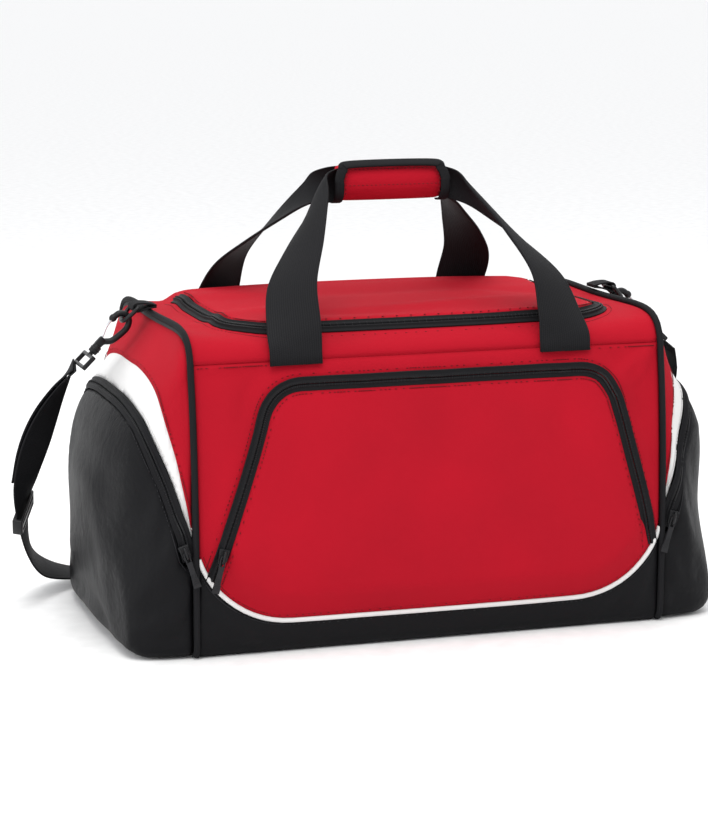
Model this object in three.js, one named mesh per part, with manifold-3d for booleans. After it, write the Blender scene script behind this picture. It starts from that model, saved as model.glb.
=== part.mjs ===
// A soft sports holdall for hockey kit: main compartment with a zipped lid, a front pocket,
// two domed end pockets, two webbing carry handles that meet in a padded grip, and a
// detachable shoulder strap. Millimetres, +Z up, +X along the bag, the front faces -Y,
// the origin is the centre of the bottom.
import * as THREE from "three";
import { mergeVertices } from "three/addons/utils/BufferGeometryUtils.js";
import Module from "manifold-3d";

// ---------------------------------------------------------------- driving dimensions
const HALF_LENGTH = 228; // half the main compartment, along X
const HALF_DEPTH = 153; // half the depth where the walls meet the shoulders
const WALL_BULGE = 11; // how far the walls swell past HALF_DEPTH
const TOP_Z = 298;
const SEAM_Z = 272; // seam between the walls and the top panel
const CLOTH = 3; // outer fabric, foam and lining together
const GAP = 0.3; // clearance between neighbouring pieces

const LID = { halfLength: 190, frontY: -121, hingeY: 92, corner: 44 };
const TAPE = 6.7; // one half of a zip tape

const TRIM = { bottomZ: 31, endZ: 122, cornerX: 92, width: 4.5, proud: 4 };
const POCKET = {
  bottomHalf: 211, // half width of the zip line at the trim
  topHalf: 174,
  shoulderZ: 214,
  topZ: 250,
  footZ: 74,
  corner: 40,
  standOff: 8,
};

const END_X = 233.4; // where an end pocket's shell starts
const END_CENTRE_Z = 120; // height the end pocket's rings shrink towards
const PIPING = { inner: GAP, outer: 5.3, halfWidth: 3.4, x: 229.7, footZ: 8 };

const HANDLE = {
  x: 131, // middle of each sewn end
  y: 157.5,
  z: 276,
  width: 50,
  folded: 30, // width inside the grip
  thickness: 2.6,
  clearance: 0.7, // round the webbing inside the grip pads
};
const GRIP = { halfLength: 52, z: 420, height: 38, depth: 24, corner: 9, webY: 12, arcSteps: 6 };

const RING = { x: 244, y: 14, z: 309.5, halfWidth: 14, reach: 18.5, wire: 2.1 };
const HOOK_WIRE = 3;
const STRAP = { width: 38, thickness: 1.6 };

const PULL = { length: 34, width: 7, thickness: 2.4 };

// ---------------------------------------------------------------- finishes
const finish = (color, roughness, metalness = 0) =>
  new THREE.MeshStandardMaterial({ color, roughness, metalness });
const RED_CLOTH = finish(0xb8172b, 0.85);
const BLACK_CLOTH = finish(0x232326, 0.5);
const WHITE_CLOTH = finish(0xf0eeee, 0.7);
const LINING = finish(0x2e2e31, 0.8);
const BOARD = finish(0x3a3a3d, 0.6);
const WEBBING = finish(0x2a2a2c, 0.8);
const TAPE_CLOTH = finish(0x1c1c1e, 0.7);
const PLASTIC = finish(0x1b1b1d, 0.4);
const STEEL = finish(0xb9bcc0, 0.3, 1);
const RUBBER = finish(0x202022, 0.6);

// ---------------------------------------------------------------- solids
const wasm = await Module();
wasm.setup();

function manifold(vertProperties, triVerts) {
  return new wasm.Manifold(new wasm.Mesh({ numProp: 3, vertProperties, triVerts }));
}

// A closed geometry as a solid whose faces point outwards.
function solidOf(geometry) {
  const bare = geometry.index ? geometry.toNonIndexed() : geometry.clone();
  bare.deleteAttribute("normal");
  bare.deleteAttribute("uv");
  const merged = mergeVertices(bare, 1e-3);
  const points = merged.attributes.position.array;
  const triangles = new Uint32Array(merged.index.array);
  const solid = manifold(points, triangles);
  return solid.volume() < 0 ? manifold(points, triangles.reverse()) : solid;
}

function geometryOf(solid) {
  const mesh = solid.getMesh();
  return new THREE.BufferGeometry()
    .setAttribute("position", new THREE.BufferAttribute(mesh.vertProperties, 3))
    .setIndex(new THREE.BufferAttribute(mesh.triVerts, 1));
}

// An outline extruded along one axis: "x" takes (y, z) outlines, "y" takes (x, z), "z" takes (x, y).
function prism(outline, axis, from, to, curveSegments = 12) {
  const geometry = new THREE.ExtrudeGeometry(outline, {
    depth: to - from,
    bevelEnabled: false,
    curveSegments,
  });
  geometry.translate(0, 0, from);
  const turns = {
    x: new THREE.Matrix4().set(0, 0, 1, 0, 1, 0, 0, 0, 0, 1, 0, 0, 0, 0, 0, 1),
    y: new THREE.Matrix4().set(1, 0, 0, 0, 0, 0, -1, 0, 0, 1, 0, 0, 0, 0, 0, 1),
    z: new THREE.Matrix4(),
  };
  return solidOf(geometry.applyMatrix4(turns[axis]));
}

// An outline in (x, z) extruded along Y between two depths.
const slab = (outline, fromY, toY) => prism(outline, "y", -toY, -fromY);

function box(x0, x1, y0, y1, z0, z1) {
  const geometry = new THREE.BoxGeometry(x1 - x0, y1 - y0, z1 - z0);
  geometry.translate((x0 + x1) / 2, (y0 + y1) / 2, (z0 + z1) / 2);
  return solidOf(geometry);
}

// A closed surface through rings of equal point counts, with a fan over the first and the last.
function loft(rings) {
  const count = rings[0].length;
  const points = rings.flat();
  const faces = [];
  for (let r = 0; r + 1 < rings.length; r++) {
    for (let i = 0; i < count; i++) {
      const a = r * count + i;
      const b = r * count + ((i + 1) % count);
      faces.push(a, b, b + count, a, b + count, a + count);
    }
  }
  const caps = [
    [rings[0], 0, true],
    [rings[rings.length - 1], (rings.length - 1) * count, false],
  ];
  for (const [ring, first, reversed] of caps) {
    const middle = new THREE.Vector3();
    ring.forEach((p) => middle.addScaledVector(p, 1 / count));
    points.push(middle);
    for (let i = 0; i < count; i++) {
      const a = first + i;
      const b = first + ((i + 1) % count);
      faces.push(...(reversed ? [b, a] : [a, b]), points.length - 1);
    }
  }
  const geometry = new THREE.BufferGeometry().setFromPoints(points).setIndex(faces);
  return geometry;
}

// A round wire of the given radius along a smooth open curve.
function wire(points, radius, steps = 24, sides = 8) {
  const path = new THREE.CatmullRomCurve3(points);
  const section = new THREE.Shape().absarc(0, 0, radius, 0, Math.PI * 2);
  return solidOf(
    new THREE.ExtrudeGeometry(section, {
      steps,
      extrudePath: path,
      curveSegments: sides,
      bevelEnabled: false,
    }),
  );
}

function cylinder(radius, length, sides = 20) {
  return new THREE.CylinderGeometry(radius, radius, length, sides);
}

// Webbing: rows of [x, y, z, wx, wy, wz, width], where w points across the webbing.
function webbing(rows, thickness, stepsPerRow = 2) {
  const centre = new THREE.CatmullRomCurve3(rows.map((r) => new THREE.Vector3(r[0], r[1], r[2])));
  const across = new THREE.CatmullRomCurve3(rows.map((r) => new THREE.Vector3(r[3], r[4], r[5])));
  const last = rows.length - 1;
  const steps = last * stepsPerRow;
  const rings = [];
  for (let i = 0; i <= steps; i++) {
    const t = i / steps;
    const row = Math.min(Math.floor(t * last), last - 1);
    const width = THREE.MathUtils.lerp(rows[row][6], rows[row + 1][6], t * last - row);
    const p = centre.getPoint(t);
    const along = centre.getTangent(t);
    const side = across.getPoint(t);
    side.addScaledVector(along, -side.dot(along)).normalize();
    const face = new THREE.Vector3().crossVectors(along, side);
    const corner = (s, f) =>
      p.clone().addScaledVector(side, (s * width) / 2).addScaledVector(face, (f * thickness) / 2);
    rings.push([corner(-1, -1), corner(1, -1), corner(1, 1), corner(-1, 1)]);
  }
  return loft(rings);
}

// ---------------------------------------------------------------- the bag's cross-section
// Half of the outer outline in (y, z), from the middle of the bottom up to the middle of the top.
function halfProfile() {
  const path = new THREE.Path();
  path.moveTo(0, 0);
  path.lineTo(-(HALF_DEPTH - 22), 0);
  path.quadraticCurveTo(-(HALF_DEPTH - 2), 0, -(HALF_DEPTH + 1), 26);
  path.bezierCurveTo(
    -(HALF_DEPTH + WALL_BULGE),
    105,
    -(HALF_DEPTH + WALL_BULGE),
    200,
    -HALF_DEPTH,
    262,
  );
  path.bezierCurveTo(-(HALF_DEPTH - 1), TOP_Z + 12, -110, TOP_Z, 0, TOP_Z);
  return path.getPoints(9);
}

// The whole outline, moved outwards along its normals by offset.
function profile(offset = 0) {
  const half = halfProfile();
  const loop = [...half, ...half.slice(1, -1).reverse().map((p) => new THREE.Vector2(-p.x, p.y))];
  return loop.map((p, i) => {
    const before = loop[(i + loop.length - 1) % loop.length];
    const after = loop[(i + 1) % loop.length];
    const along = after.clone().sub(before).normalize();
    return new THREE.Vector2(p.x - along.y * offset, p.y + along.x * offset);
  });
}

// The bag's skin between two offsets from the outline, from one x to another.
function skin(inner, outer, fromX = -HALF_LENGTH, toX = HALF_LENGTH) {
  const outline = new THREE.Shape(profile(outer).reverse());
  outline.holes.push(new THREE.Path(profile(inner)));
  return prism(outline, "x", fromX, toX);
}

// ---------------------------------------------------------------- outlines
// The red area of the front and back, above the base panel; grow moves its lower edge outwards.
function upperArea(grow = 0) {
  const wide = 400;
  const shape = new THREE.Shape();
  const foot = TRIM.bottomZ - grow;
  const rise = TRIM.endZ - TRIM.bottomZ;
  const end = HALF_LENGTH + 3 + grow;
  const straight = end - TRIM.cornerX - grow;
  shape.moveTo(-wide, TRIM.endZ);
  shape.lineTo(-end, TRIM.endZ);
  shape.absellipse(-straight, TRIM.endZ, end - straight, rise + grow, Math.PI, Math.PI * 1.5);
  shape.lineTo(straight, foot);
  shape.absellipse(straight, TRIM.endZ, end - straight, rise + grow, Math.PI * 1.5, Math.PI * 2);
  shape.lineTo(wide, TRIM.endZ);
  shape.lineTo(wide, wide);
  shape.lineTo(-wide, wide);
  return shape;
}

// The front pocket's arch inside its zip; grow moves it outwards. It runs below the trim.
function pocketArch(grow = 0) {
  const { bottomHalf, topHalf, shoulderZ, topZ, footZ, corner } = POCKET;
  const slope = (bottomHalf - topHalf) / (shoulderZ - footZ);
  const foot = bottomHalf + grow + slope * footZ;
  const shape = new THREE.Shape();
  shape.moveTo(-foot, 0);
  shape.lineTo(-(topHalf + grow), shoulderZ);
  shape.quadraticCurveTo(-(topHalf + grow - 8), topZ + grow, -(topHalf - corner), topZ + grow);
  shape.lineTo(topHalf - corner, topZ + grow);
  shape.quadraticCurveTo(topHalf + grow - 8, topZ + grow, topHalf + grow, shoulderZ);
  shape.lineTo(foot, 0);
  return shape;
}

// The lid seen from above; grow moves its zipped edges outwards, back moves the hinged edge.
function lidArea(grow = 0, back = 0) {
  const x = LID.halfLength + grow;
  const front = LID.frontY - grow;
  const corner = LID.corner + grow;
  const rear = LID.hingeY + back;
  const shape = new THREE.Shape();
  shape.moveTo(-x, rear);
  shape.lineTo(-x, front + corner);
  shape.absarc(-x + corner, front + corner, corner, Math.PI, Math.PI * 1.5);
  shape.lineTo(x - corner, front);
  shape.absarc(x - corner, front + corner, corner, Math.PI * 1.5, Math.PI * 2);
  shape.lineTo(x, rear);
  return shape;
}

// An end pocket's seam: rows of (distance out from the end wall, height), grown at right angles.
// The area is the one below and outside the seam.
function belowSeam(rows, grow, side) {
  const curve = new THREE.SplineCurve(rows.map(([d, z]) => new THREE.Vector2(d, z)));
  const points = curve.getPoints(14).map((p, i, all) => {
    const a = all[Math.max(i - 1, 0)];
    const b = all[Math.min(i + 1, all.length - 1)];
    const along = b.clone().sub(a).normalize();
    return new THREE.Vector2(p.x - along.y * grow, p.y + along.x * grow);
  });
  const first = points[0];
  const last = points[points.length - 1];
  const outline = [
    new THREE.Vector2(-20, first.y),
    ...points,
    new THREE.Vector2(last.x, 400),
    new THREE.Vector2(200, 400),
    new THREE.Vector2(200, -50),
    new THREE.Vector2(-20, -50),
  ];
  return new THREE.Shape(outline.map((p) => new THREE.Vector2(side * (END_X + p.x), p.y)));
}

// ---------------------------------------------------------------- the scene
const bag = new THREE.Group();
bag.name = "holdall";

function add(name, shape, material, parent = bag) {
  const geometry = shape.isBufferGeometry ? shape : geometryOf(shape);
  const mesh = new THREE.Mesh(geometry, material);
  mesh.name = name;
  parent.add(mesh);
  return mesh;
}

const FAR = 400;
const FRONT_HALF = box(-FAR, FAR, -FAR, 0, -FAR, FAR);
const REAR_HALF = box(-FAR, FAR, 0, FAR, -FAR, FAR);

function addMainBody() {
  const shell = skin(-CLOTH, 0);
  const walls = slab(upperArea(), -FAR, FAR);
  const base = shell.subtract(slab(upperArea(GAP), -FAR, FAR));
  const belowTop = box(-FAR, FAR, -FAR, FAR, -FAR, SEAM_Z - GAP);
  add("base_panel", base, BLACK_CLOTH);
  add("front_panel", shell.intersect(walls).intersect(belowTop).intersect(FRONT_HALF), RED_CLOTH);
  add("back_panel", shell.intersect(walls).intersect(belowTop).intersect(REAR_HALF), RED_CLOTH);
  const top = shell
    .intersect(box(-FAR, FAR, -FAR, FAR, SEAM_Z, FAR))
    .subtract(prism(lidArea(2 * TAPE + 3 * GAP, 2 * GAP), "z", 0, FAR));
  add("top_panel", top, RED_CLOTH);
  add("base_board", box(-218, 218, -124, 124, CLOTH + GAP, CLOTH + GAP + 2.5), BOARD);
  const wallShape = new THREE.Shape(profile(-GAP));
  for (const side of [-1, 1]) {
    const x = [side * (HALF_LENGTH + GAP), side * (HALF_LENGTH + GAP + 2)].sort((a, b) => a - b);
    add(side < 0 ? "left_end_wall" : "right_end_wall", prism(wallShape, "x", x[0], x[1]), LINING);
  }
}

function addLid() {
  const shell = skin(-CLOTH, 0).intersect(box(-FAR, FAR, -FAR, FAR, SEAM_Z, FAR));
  const column = (grow, back = 0) => prism(lidArea(grow, back), "z", 0, FAR);
  add("lid_panel", shell.intersect(column(0)), RED_CLOTH);
  const tape = skin(-2.2, -0.6).intersect(box(-FAR, FAR, -FAR, FAR, SEAM_Z, FAR));
  const inner = tape.intersect(column(GAP + TAPE)).subtract(column(GAP, 10));
  const outer = tape.intersect(column(2 * GAP + 2 * TAPE)).subtract(column(2 * GAP + TAPE, 10));
  add("main_zip_lid_tape", inner, TAPE_CLOTH);
  add("main_zip_outer_tape", outer, TAPE_CLOTH);
}

function addTrims() {
  const strip = skin(GAP, TRIM.proud).intersect(
    slab(upperArea(TRIM.width / 2), -FAR, FAR).subtract(slab(upperArea(-TRIM.width / 2), -FAR, FAR)),
  );
  const end = PIPING.x - PIPING.halfWidth - GAP;
  const low = box(-end, end, -FAR, FAR, 0, TRIM.endZ - 1);
  add("front_trim", strip.intersect(FRONT_HALF).intersect(low), WHITE_CLOTH);
  add("back_trim", strip.intersect(REAR_HALF).intersect(low), WHITE_CLOTH);
  for (const side of [-1, 1]) {
    const x = side * PIPING.x;
    const ring = skin(PIPING.inner, PIPING.outer, x - PIPING.halfWidth, x + PIPING.halfWidth);
    const open = ring.subtract(box(-FAR, FAR, -FAR, FAR, -FAR, PIPING.footZ));
    add(side < 0 ? "left_end_piping" : "right_end_piping", open, BLACK_CLOTH);
  }
}

function addFrontPocket() {
  const thickness = 2.5;
  const block = skin(GAP, POCKET.standOff + thickness).intersect(FRONT_HALF);
  const above = slab(upperArea(-TRIM.width / 2 - GAP), -FAR, 0);
  const floor = slab(upperArea(-TRIM.width / 2 - 4), -FAR, 0);
  const hollow = skin(-1, POCKET.standOff).intersect(floor);
  const panel = block.intersect(above).intersect(slab(pocketArch(-TAPE), -FAR, 0));
  add("front_pocket_panel", panel.subtract(hollow), RED_CLOTH);
  const arch = slab(pocketArch(TAPE), -FAR, 0).subtract(slab(pocketArch(-TAPE + GAP), -FAR, 0));
  add("front_pocket_zip", block.intersect(above).intersect(arch), TAPE_CLOTH);
}

// ---------------------------------------------------------------- end pockets
// Rows of [distance out, share of the depth, share of the height above, share of the height below].
const DOME = [
  [0, 1, 0.985, 1],
  [12, 0.99, 0.905, 1],
  [25, 0.968, 0.805, 1],
  [35, 0.945, 0.72, 1],
  [45, 0.91, 0.63, 0.995],
  [55, 0.858, 0.535, 0.965],
  [65, 0.775, 0.42, 0.9],
  [72, 0.67, 0.315, 0.79],
  [76.5, 0.5, 0.2, 0.58],
];
const BAND_SEAM = [
  [-6, 112],
  [0, 120],
  [4, 140],
  [12, 172],
  [21, 201],
  [28, 226],
  [31, 250],
  [32, 330],
];
const ZIP_LINE = [
  [2, 92],
  [9, 120],
  [21, 152],
  [34, 184],
  [45, 212],
  [51, 240],
  [53, 330],
];

function domeRing([out, depth, up, down], side, thinner) {
  return profile(-1.5).map(({ x: y, y: z }) => {
    const above = z > END_CENTRE_Z;
    const share = (above ? up : down) - thinner / (above ? 180 : END_CENTRE_Z);
    return new THREE.Vector3(
      side * (END_X + Math.max(out - thinner, 0)),
      y * (depth - thinner / HALF_DEPTH),
      END_CENTRE_Z + (z - END_CENTRE_Z) * share,
    );
  });
}

function domeShell(side, inner, outer) {
  const inside = DOME.filter((row, i) => i % 2 === 0).map((row) => domeRing(row, side, inner));
  const outside = DOME.map((row) => domeRing(row, side, outer));
  return solidOf(loft([...inside.reverse(), ...outside]));
}

function addEndPocket(side) {
  const hand = side < 0 ? "left" : "right";
  const shell = domeShell(side, CLOTH, 0);
  const under = (rows, grow) => slab(belowSeam(rows, grow, side), -FAR, FAR);
  const band = shell.intersect(under(BAND_SEAM, -GAP));
  add(`${hand}_end_upper_panel`, shell.subtract(under(BAND_SEAM, 0)), RED_CLOTH);
  const half = TAPE + 1;
  add(`${hand}_end_band`, band.subtract(under(ZIP_LINE, half)), WHITE_CLOTH);
  const tape = shell.intersect(under(ZIP_LINE, half - GAP)).subtract(under(ZIP_LINE, -half));
  add(`${hand}_pocket_zip`, tape, TAPE_CLOTH);
  add(`${hand}_pocket_panel`, shell.intersect(under(ZIP_LINE, -half - GAP)), BLACK_CLOTH);
}

// ---------------------------------------------------------------- carry handles
// One side of a handle from its sewn end to the grip: x, y, z at the front left.
const HANDLE_ROUTE = [
  [-HANDLE.x, -HANDLE.y, HANDLE.z, 1, 0, 0, HANDLE.width],
  [-130, -146, 300, 1, 0, 0, HANDLE.width],
  [-124, -119, 334, 1, 0.05, 0, HANDLE.width],
  [-109, -84, 366, 0.98, 0.1, 0.15, 48],
  [-89, -50, 393, 0.85, 0.1, 0.5, 42],
  [-70, -24, 411, 0.5, 0.05, 0.85, 35],
  [-56, -GRIP.webY - 2, GRIP.z - 2, 0.2, 0, 1, HANDLE.folded],
  [-40, -GRIP.webY, GRIP.z, 0, 0, 1, HANDLE.folded],
];

function handleRows(front) {
  const s = front ? 1 : -1;
  const left = HANDLE_ROUTE.map(([x, y, z, a, b, c, w]) => [x, s * y, z, a, s * b, c, w]);
  const right = left.map(([x, y, z, a, b, c, w]) => [-x, y, z, a, -b, -c, w]).reverse();
  const turned = right.map(([x, y, z, a, b, c, w]) => [x, y, z, -a, -b, -c, w]);
  return [...left, [0, -s * GRIP.webY, GRIP.z, 0, 0, 1, HANDLE.folded], ...turned];
}

// One half of the closed grip in (y, z), on the side of the bag given by sign.
function gripOutline(sign) {
  const { height, depth, corner, z } = GRIP;
  const low = z - height / 2;
  const high = z + height / 2;
  const outline = new THREE.Shape();
  outline.moveTo(-GAP, low);
  outline.lineTo(-GAP, high);
  outline.lineTo(-(depth - corner), high);
  outline.absarc(-(depth - corner), high - corner, corner, Math.PI / 2, Math.PI);
  outline.absarc(-(depth - corner), low + corner, corner, Math.PI, Math.PI * 1.5);
  const points = outline.getPoints(GRIP.arcSteps);
  return new THREE.Shape(points.map((p) => new THREE.Vector2(-sign * p.x, p.y)));
}

function addHandle(front) {
  const name = front ? "front" : "rear";
  const rows = handleRows(front);
  const strap = solidOf(webbing(rows, HANDLE.thickness));
  add(`${name}_handle_webbing`, strap, WEBBING);
  const grown = rows.map((row) => [...row.slice(0, 6), row[6] + 2 * HANDLE.clearance]);
  const room = solidOf(webbing(grown, HANDLE.thickness + 2 * HANDLE.clearance));
  const pad = prism(gripOutline(front ? -1 : 1), "x", -GRIP.halfLength, GRIP.halfLength);
  add(`${name}_grip_pad`, pad.subtract(room), RED_CLOTH);
}

// ---------------------------------------------------------------- zip sliders and pulls
// Drawn with +Y along the zip, +Z away from the cloth and the hinge of the pull along X.
const HINGE_HEIGHT = 5.6;

function sliderSolid() {
  const shape = new THREE.Shape();
  shape.moveTo(-3.4, -7);
  shape.lineTo(3.4, -7);
  shape.lineTo(5, 2);
  shape.quadraticCurveTo(5, 7, 0, 7);
  shape.quadraticCurveTo(-5, 7, -5, 2);
  const plate = prism(shape, "z", 0, 3.4, 5);
  const bridge = new THREE.Shape();
  bridge.moveTo(-5.5, 2);
  bridge.lineTo(-5.5, 6);
  bridge.quadraticCurveTo(-5.5, 8.6, -3, 8.6);
  bridge.lineTo(3, 8.6);
  bridge.quadraticCurveTo(5.5, 8.6, 5.5, 6);
  bridge.lineTo(5.5, 2);
  bridge.lineTo(3.6, 2);
  bridge.lineTo(3.6, 7);
  bridge.lineTo(-3.6, 7);
  bridge.lineTo(-3.6, 2);
  return plate.add(prism(bridge, "x", -1.2, 1.2, 4));
}

// The pull hangs along -Y from its pin at the origin.
function pullSolid() {
  const { length, width, thickness } = PULL;
  const pin = cylinder(0.9, width, 12).rotateZ(Math.PI / 2);
  const arm = (s) => {
    const x = [s * (width / 2), s * (width / 2 - 1.6)].sort((a, b) => a - b);
    return box(x[0], x[1], -7, 1, -thickness / 2, thickness / 2);
  };
  const tab = new THREE.Shape();
  tab.moveTo(-width / 2, -6);
  tab.lineTo(-width / 2, -length + 4);
  tab.quadraticCurveTo(-width / 2, -length, 0, -length);
  tab.quadraticCurveTo(width / 2, -length, width / 2, -length + 4);
  tab.lineTo(width / 2, -6);
  const plate = prism(tab, "z", -thickness / 2, thickness / 2, 5);
  return solidOf(pin).add(arm(-1)).add(arm(1)).add(plate);
}

function addSlider(name, position, along, away, pullAngle) {
  const group = new THREE.Group();
  const across = new THREE.Vector3().crossVectors(along, away);
  group.setRotationFromMatrix(new THREE.Matrix4().makeBasis(across, along, away));
  group.position.copy(position);
  bag.add(group);
  add(`${name}_slider`, sliderSolid(), PLASTIC, group);
  const pull = add(`${name}_pull`, pullSolid(), RUBBER, group);
  pull.position.z = HINGE_HEIGHT;
  pull.rotation.x = pullAngle;
}

// ---------------------------------------------------------------- rings, hooks and shoulder strap
const HOOK_SLOPE = Math.atan2(0.7, 0.71); // the hook leans this far below level
const HOOK_PATH = [
  [34, 0],
  [27, -1],
  [21, -6],
  [12, -8],
  [2, -8.5],
  [-5, -5],
  [-7, 1],
  [-3.5, 6.5],
  [3.5, 8],
];
const GATE_PATH = [
  [4.8, 8],
  [14, 7],
  [23.5, 3.2],
];

function addRingAndHook(side) {
  const hand = side < 0 ? "left" : "right";
  const place = new THREE.Group();
  place.position.set(side * RING.x, RING.y, RING.z);
  place.rotation.z = side < 0 ? Math.PI : 0;
  bag.add(place); // +X now points away from the bag

  const tab = box(-16, 0, -11, 11, 2.4, 4.8)
    .add(solidOf(cylinder(4.8, 22)))
    .subtract(solidOf(cylinder(RING.wire + GAP + 0.2, 30)));
  add(`${hand}_ring_tab`, tab, WEBBING, place);

  const tilted = new THREE.Group();
  tilted.rotation.y = HOOK_SLOPE; // +X now points down the hook
  place.add(tilted);
  const { halfWidth, reach, wire: r } = RING;
  const bow = [
    [0, halfWidth],
    [4, halfWidth],
    [reach - 3, halfWidth - 5],
    [reach, 0],
    [reach - 3, -halfWidth + 5],
    [4, -halfWidth],
    [0, -halfWidth],
  ].map(([x, y]) => new THREE.Vector3(x, y, 0));
  const bar = solidOf(cylinder(r, 2 * halfWidth + 2 * r, 12));
  add(`${hand}_ring`, wire(bow, r, 16, 4).add(bar), PLASTIC, tilted);

  const hook = new THREE.Group();
  hook.position.x = reach;
  tilted.add(hook);
  const flat = (rows) => rows.map(([u, v]) => new THREE.Vector3(u, 0, v));
  const barrel = solidOf(cylinder(4.6, 9).rotateZ(Math.PI / 2).translate(37.5, 0, 0));
  add(`${hand}_hook`, wire(flat(HOOK_PATH), HOOK_WIRE, 20, 4).add(barrel), PLASTIC, hook);
  add(`${hand}_hook_gate`, wire(flat(GATE_PATH), 1.1, 6, 3), STEEL, hook);

  const pin = solidOf(cylinder(2, 3, 12).rotateZ(Math.PI / 2).translate(43.8, 0, 0));
  const eye = box(44, 60, -22.5, 22.5, -2, 2).subtract(box(47.5, 56.5, -19.8, 19.8, -5, 5));
  add(`${hand}_strap_eye`, eye.add(pin), PLASTIC, hook);
}

// The shoulder strap's middle line from the left hook, behind the bag, to the right hook.
const STRAP_ROUTE = [
  [-303, 14, 251, 0.1, 1, 0],
  [-315, 18, 232, 0.25, 0.95, 0],
  [-329, 23, 205, 0.4, 0.9, -0.1],
  [-341, 31, 172, 0.5, 0.8, -0.1],
  [-349, 43, 137, 0.5, 0.8, 0.1],
  [-350, 60, 102, 0.35, 0.7, 0.45],
  [-343, 82, 70, 0.1, 0.6, 0.75],
  [-331, 113, 43, -0.2, 0.6, 0.75],
  [-311, 146, 25, -0.4, 0.7, 0.5],
  [-281, 174, 12, -0.45, 0.85, 0.2],
  [-241, 195, 4, -0.4, 0.9, 0],
  [-185, 208, 1.2, -0.2, 1, 0],
  [-100, 214, 1.2, -0.05, 1, 0],
  [0, 216, 1.2, 0, 1, 0],
  [100, 214, 1.2, 0.05, 1, 0],
  [185, 208, 1.2, 0.2, 1, 0],
  [241, 196, 4, 0.35, 0.9, 0],
  [280, 179, 14, 0.4, 0.85, 0.15],
  [305, 158, 34, 0.4, 0.8, 0.35],
  [319, 132, 66, 0.3, 0.85, 0.4],
  [324, 103, 104, 0.2, 0.9, 0.35],
  [326, 80, 143, 0.1, 0.95, 0.25],
  [324, 58, 180, 0, 1, 0.2],
  [317, 32, 219, -0.1, 1, 0.05],
  [306, 15, 247, -0.1, 1, 0],
];
const ADJUSTER_ROW = 5;

function addShoulderStrap() {
  const rows = STRAP_ROUTE.map((row) => [...row, STRAP.width]);
  add("shoulder_strap", solidOf(webbing(rows, STRAP.thickness, 2)), WEBBING);
  const spread = [2.6, 6, 8, 7, 5];
  const back = spread.map((distance, i) => {
    const [p, next] = [STRAP_ROUTE[i], STRAP_ROUTE[i + 1]].map((r) => new THREE.Vector3(...r));
    const side = new THREE.Vector3(...STRAP_ROUTE[i].slice(3));
    const away = side.clone().cross(next.sub(p)).normalize();
    p.addScaledVector(away, -Math.sign(away.x) * distance);
    return [...p.toArray(), ...side.toArray(), STRAP.width];
  });
  add("strap_return", solidOf(webbing(back, STRAP.thickness, 2)), WEBBING);

  const [x, y, z, a, b, c] = STRAP_ROUTE[ADJUSTER_ROW];
  const before = new THREE.Vector3(...STRAP_ROUTE[ADJUSTER_ROW - 1]);
  const after = new THREE.Vector3(...STRAP_ROUTE[ADJUSTER_ROW + 1]);
  const along = after.sub(before).normalize();
  const across = new THREE.Vector3(a, b, c);
  across.addScaledVector(along, -across.dot(along)).normalize();
  const face = new THREE.Vector3().crossVectors(across, along);
  const group = new THREE.Group();
  group.setRotationFromMatrix(new THREE.Matrix4().makeBasis(across, along, face));
  group.position.set(x, y, z);
  bag.add(group);
  const frame = box(-24, 24, -9, 9, -5, 5).subtract(box(-20.5, 20.5, -10, 10, -3.3, 3.3));
  add("strap_adjuster", frame, PLASTIC, group);
}

// ---------------------------------------------------------------- assembly
addMainBody();
addLid();
addTrims();
addFrontPocket();
for (const side of [-1, 1]) {
  addEndPocket(side);
  addRingAndHook(side);
}
addHandle(true);
addHandle(false);
addShoulderStrap();

const FORWARD = new THREE.Vector3(0, -1, 0);
const UP = new THREE.Vector3(0, 0, 1);
const rise = (x) => new THREE.Vector3(x, 0, 1).normalize();
addSlider("front_pocket", new THREE.Vector3(-204.6, -173.4, 98), rise(0.264), FORWARD, 0);
addSlider("left_pocket", new THREE.Vector3(-239.5, -163.5, 102), rise(-0.32), FORWARD, 0);
addSlider("right_pocket", new THREE.Vector3(239.5, -163.5, 102), rise(0.32), FORWARD, 0);
addSlider("main_zip", new THREE.Vector3(197, 74, TOP_Z + 2.5), FORWARD, UP, Math.PI);

export default bag;
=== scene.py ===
"""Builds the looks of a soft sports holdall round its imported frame.

The holdall has a zipped lid, a front pocket, two domed end pockets, two webbing carry handles
that meet in a padded grip, and a clip-on shoulder strap. Everything is in metres, +Z up, +X along
the bag; the front pocket faces -Y and the origin is the centre of the flat bottom.
"""

import math

import bmesh
import bpy
import numpy as np
from mathutils import Matrix, Vector


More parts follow.
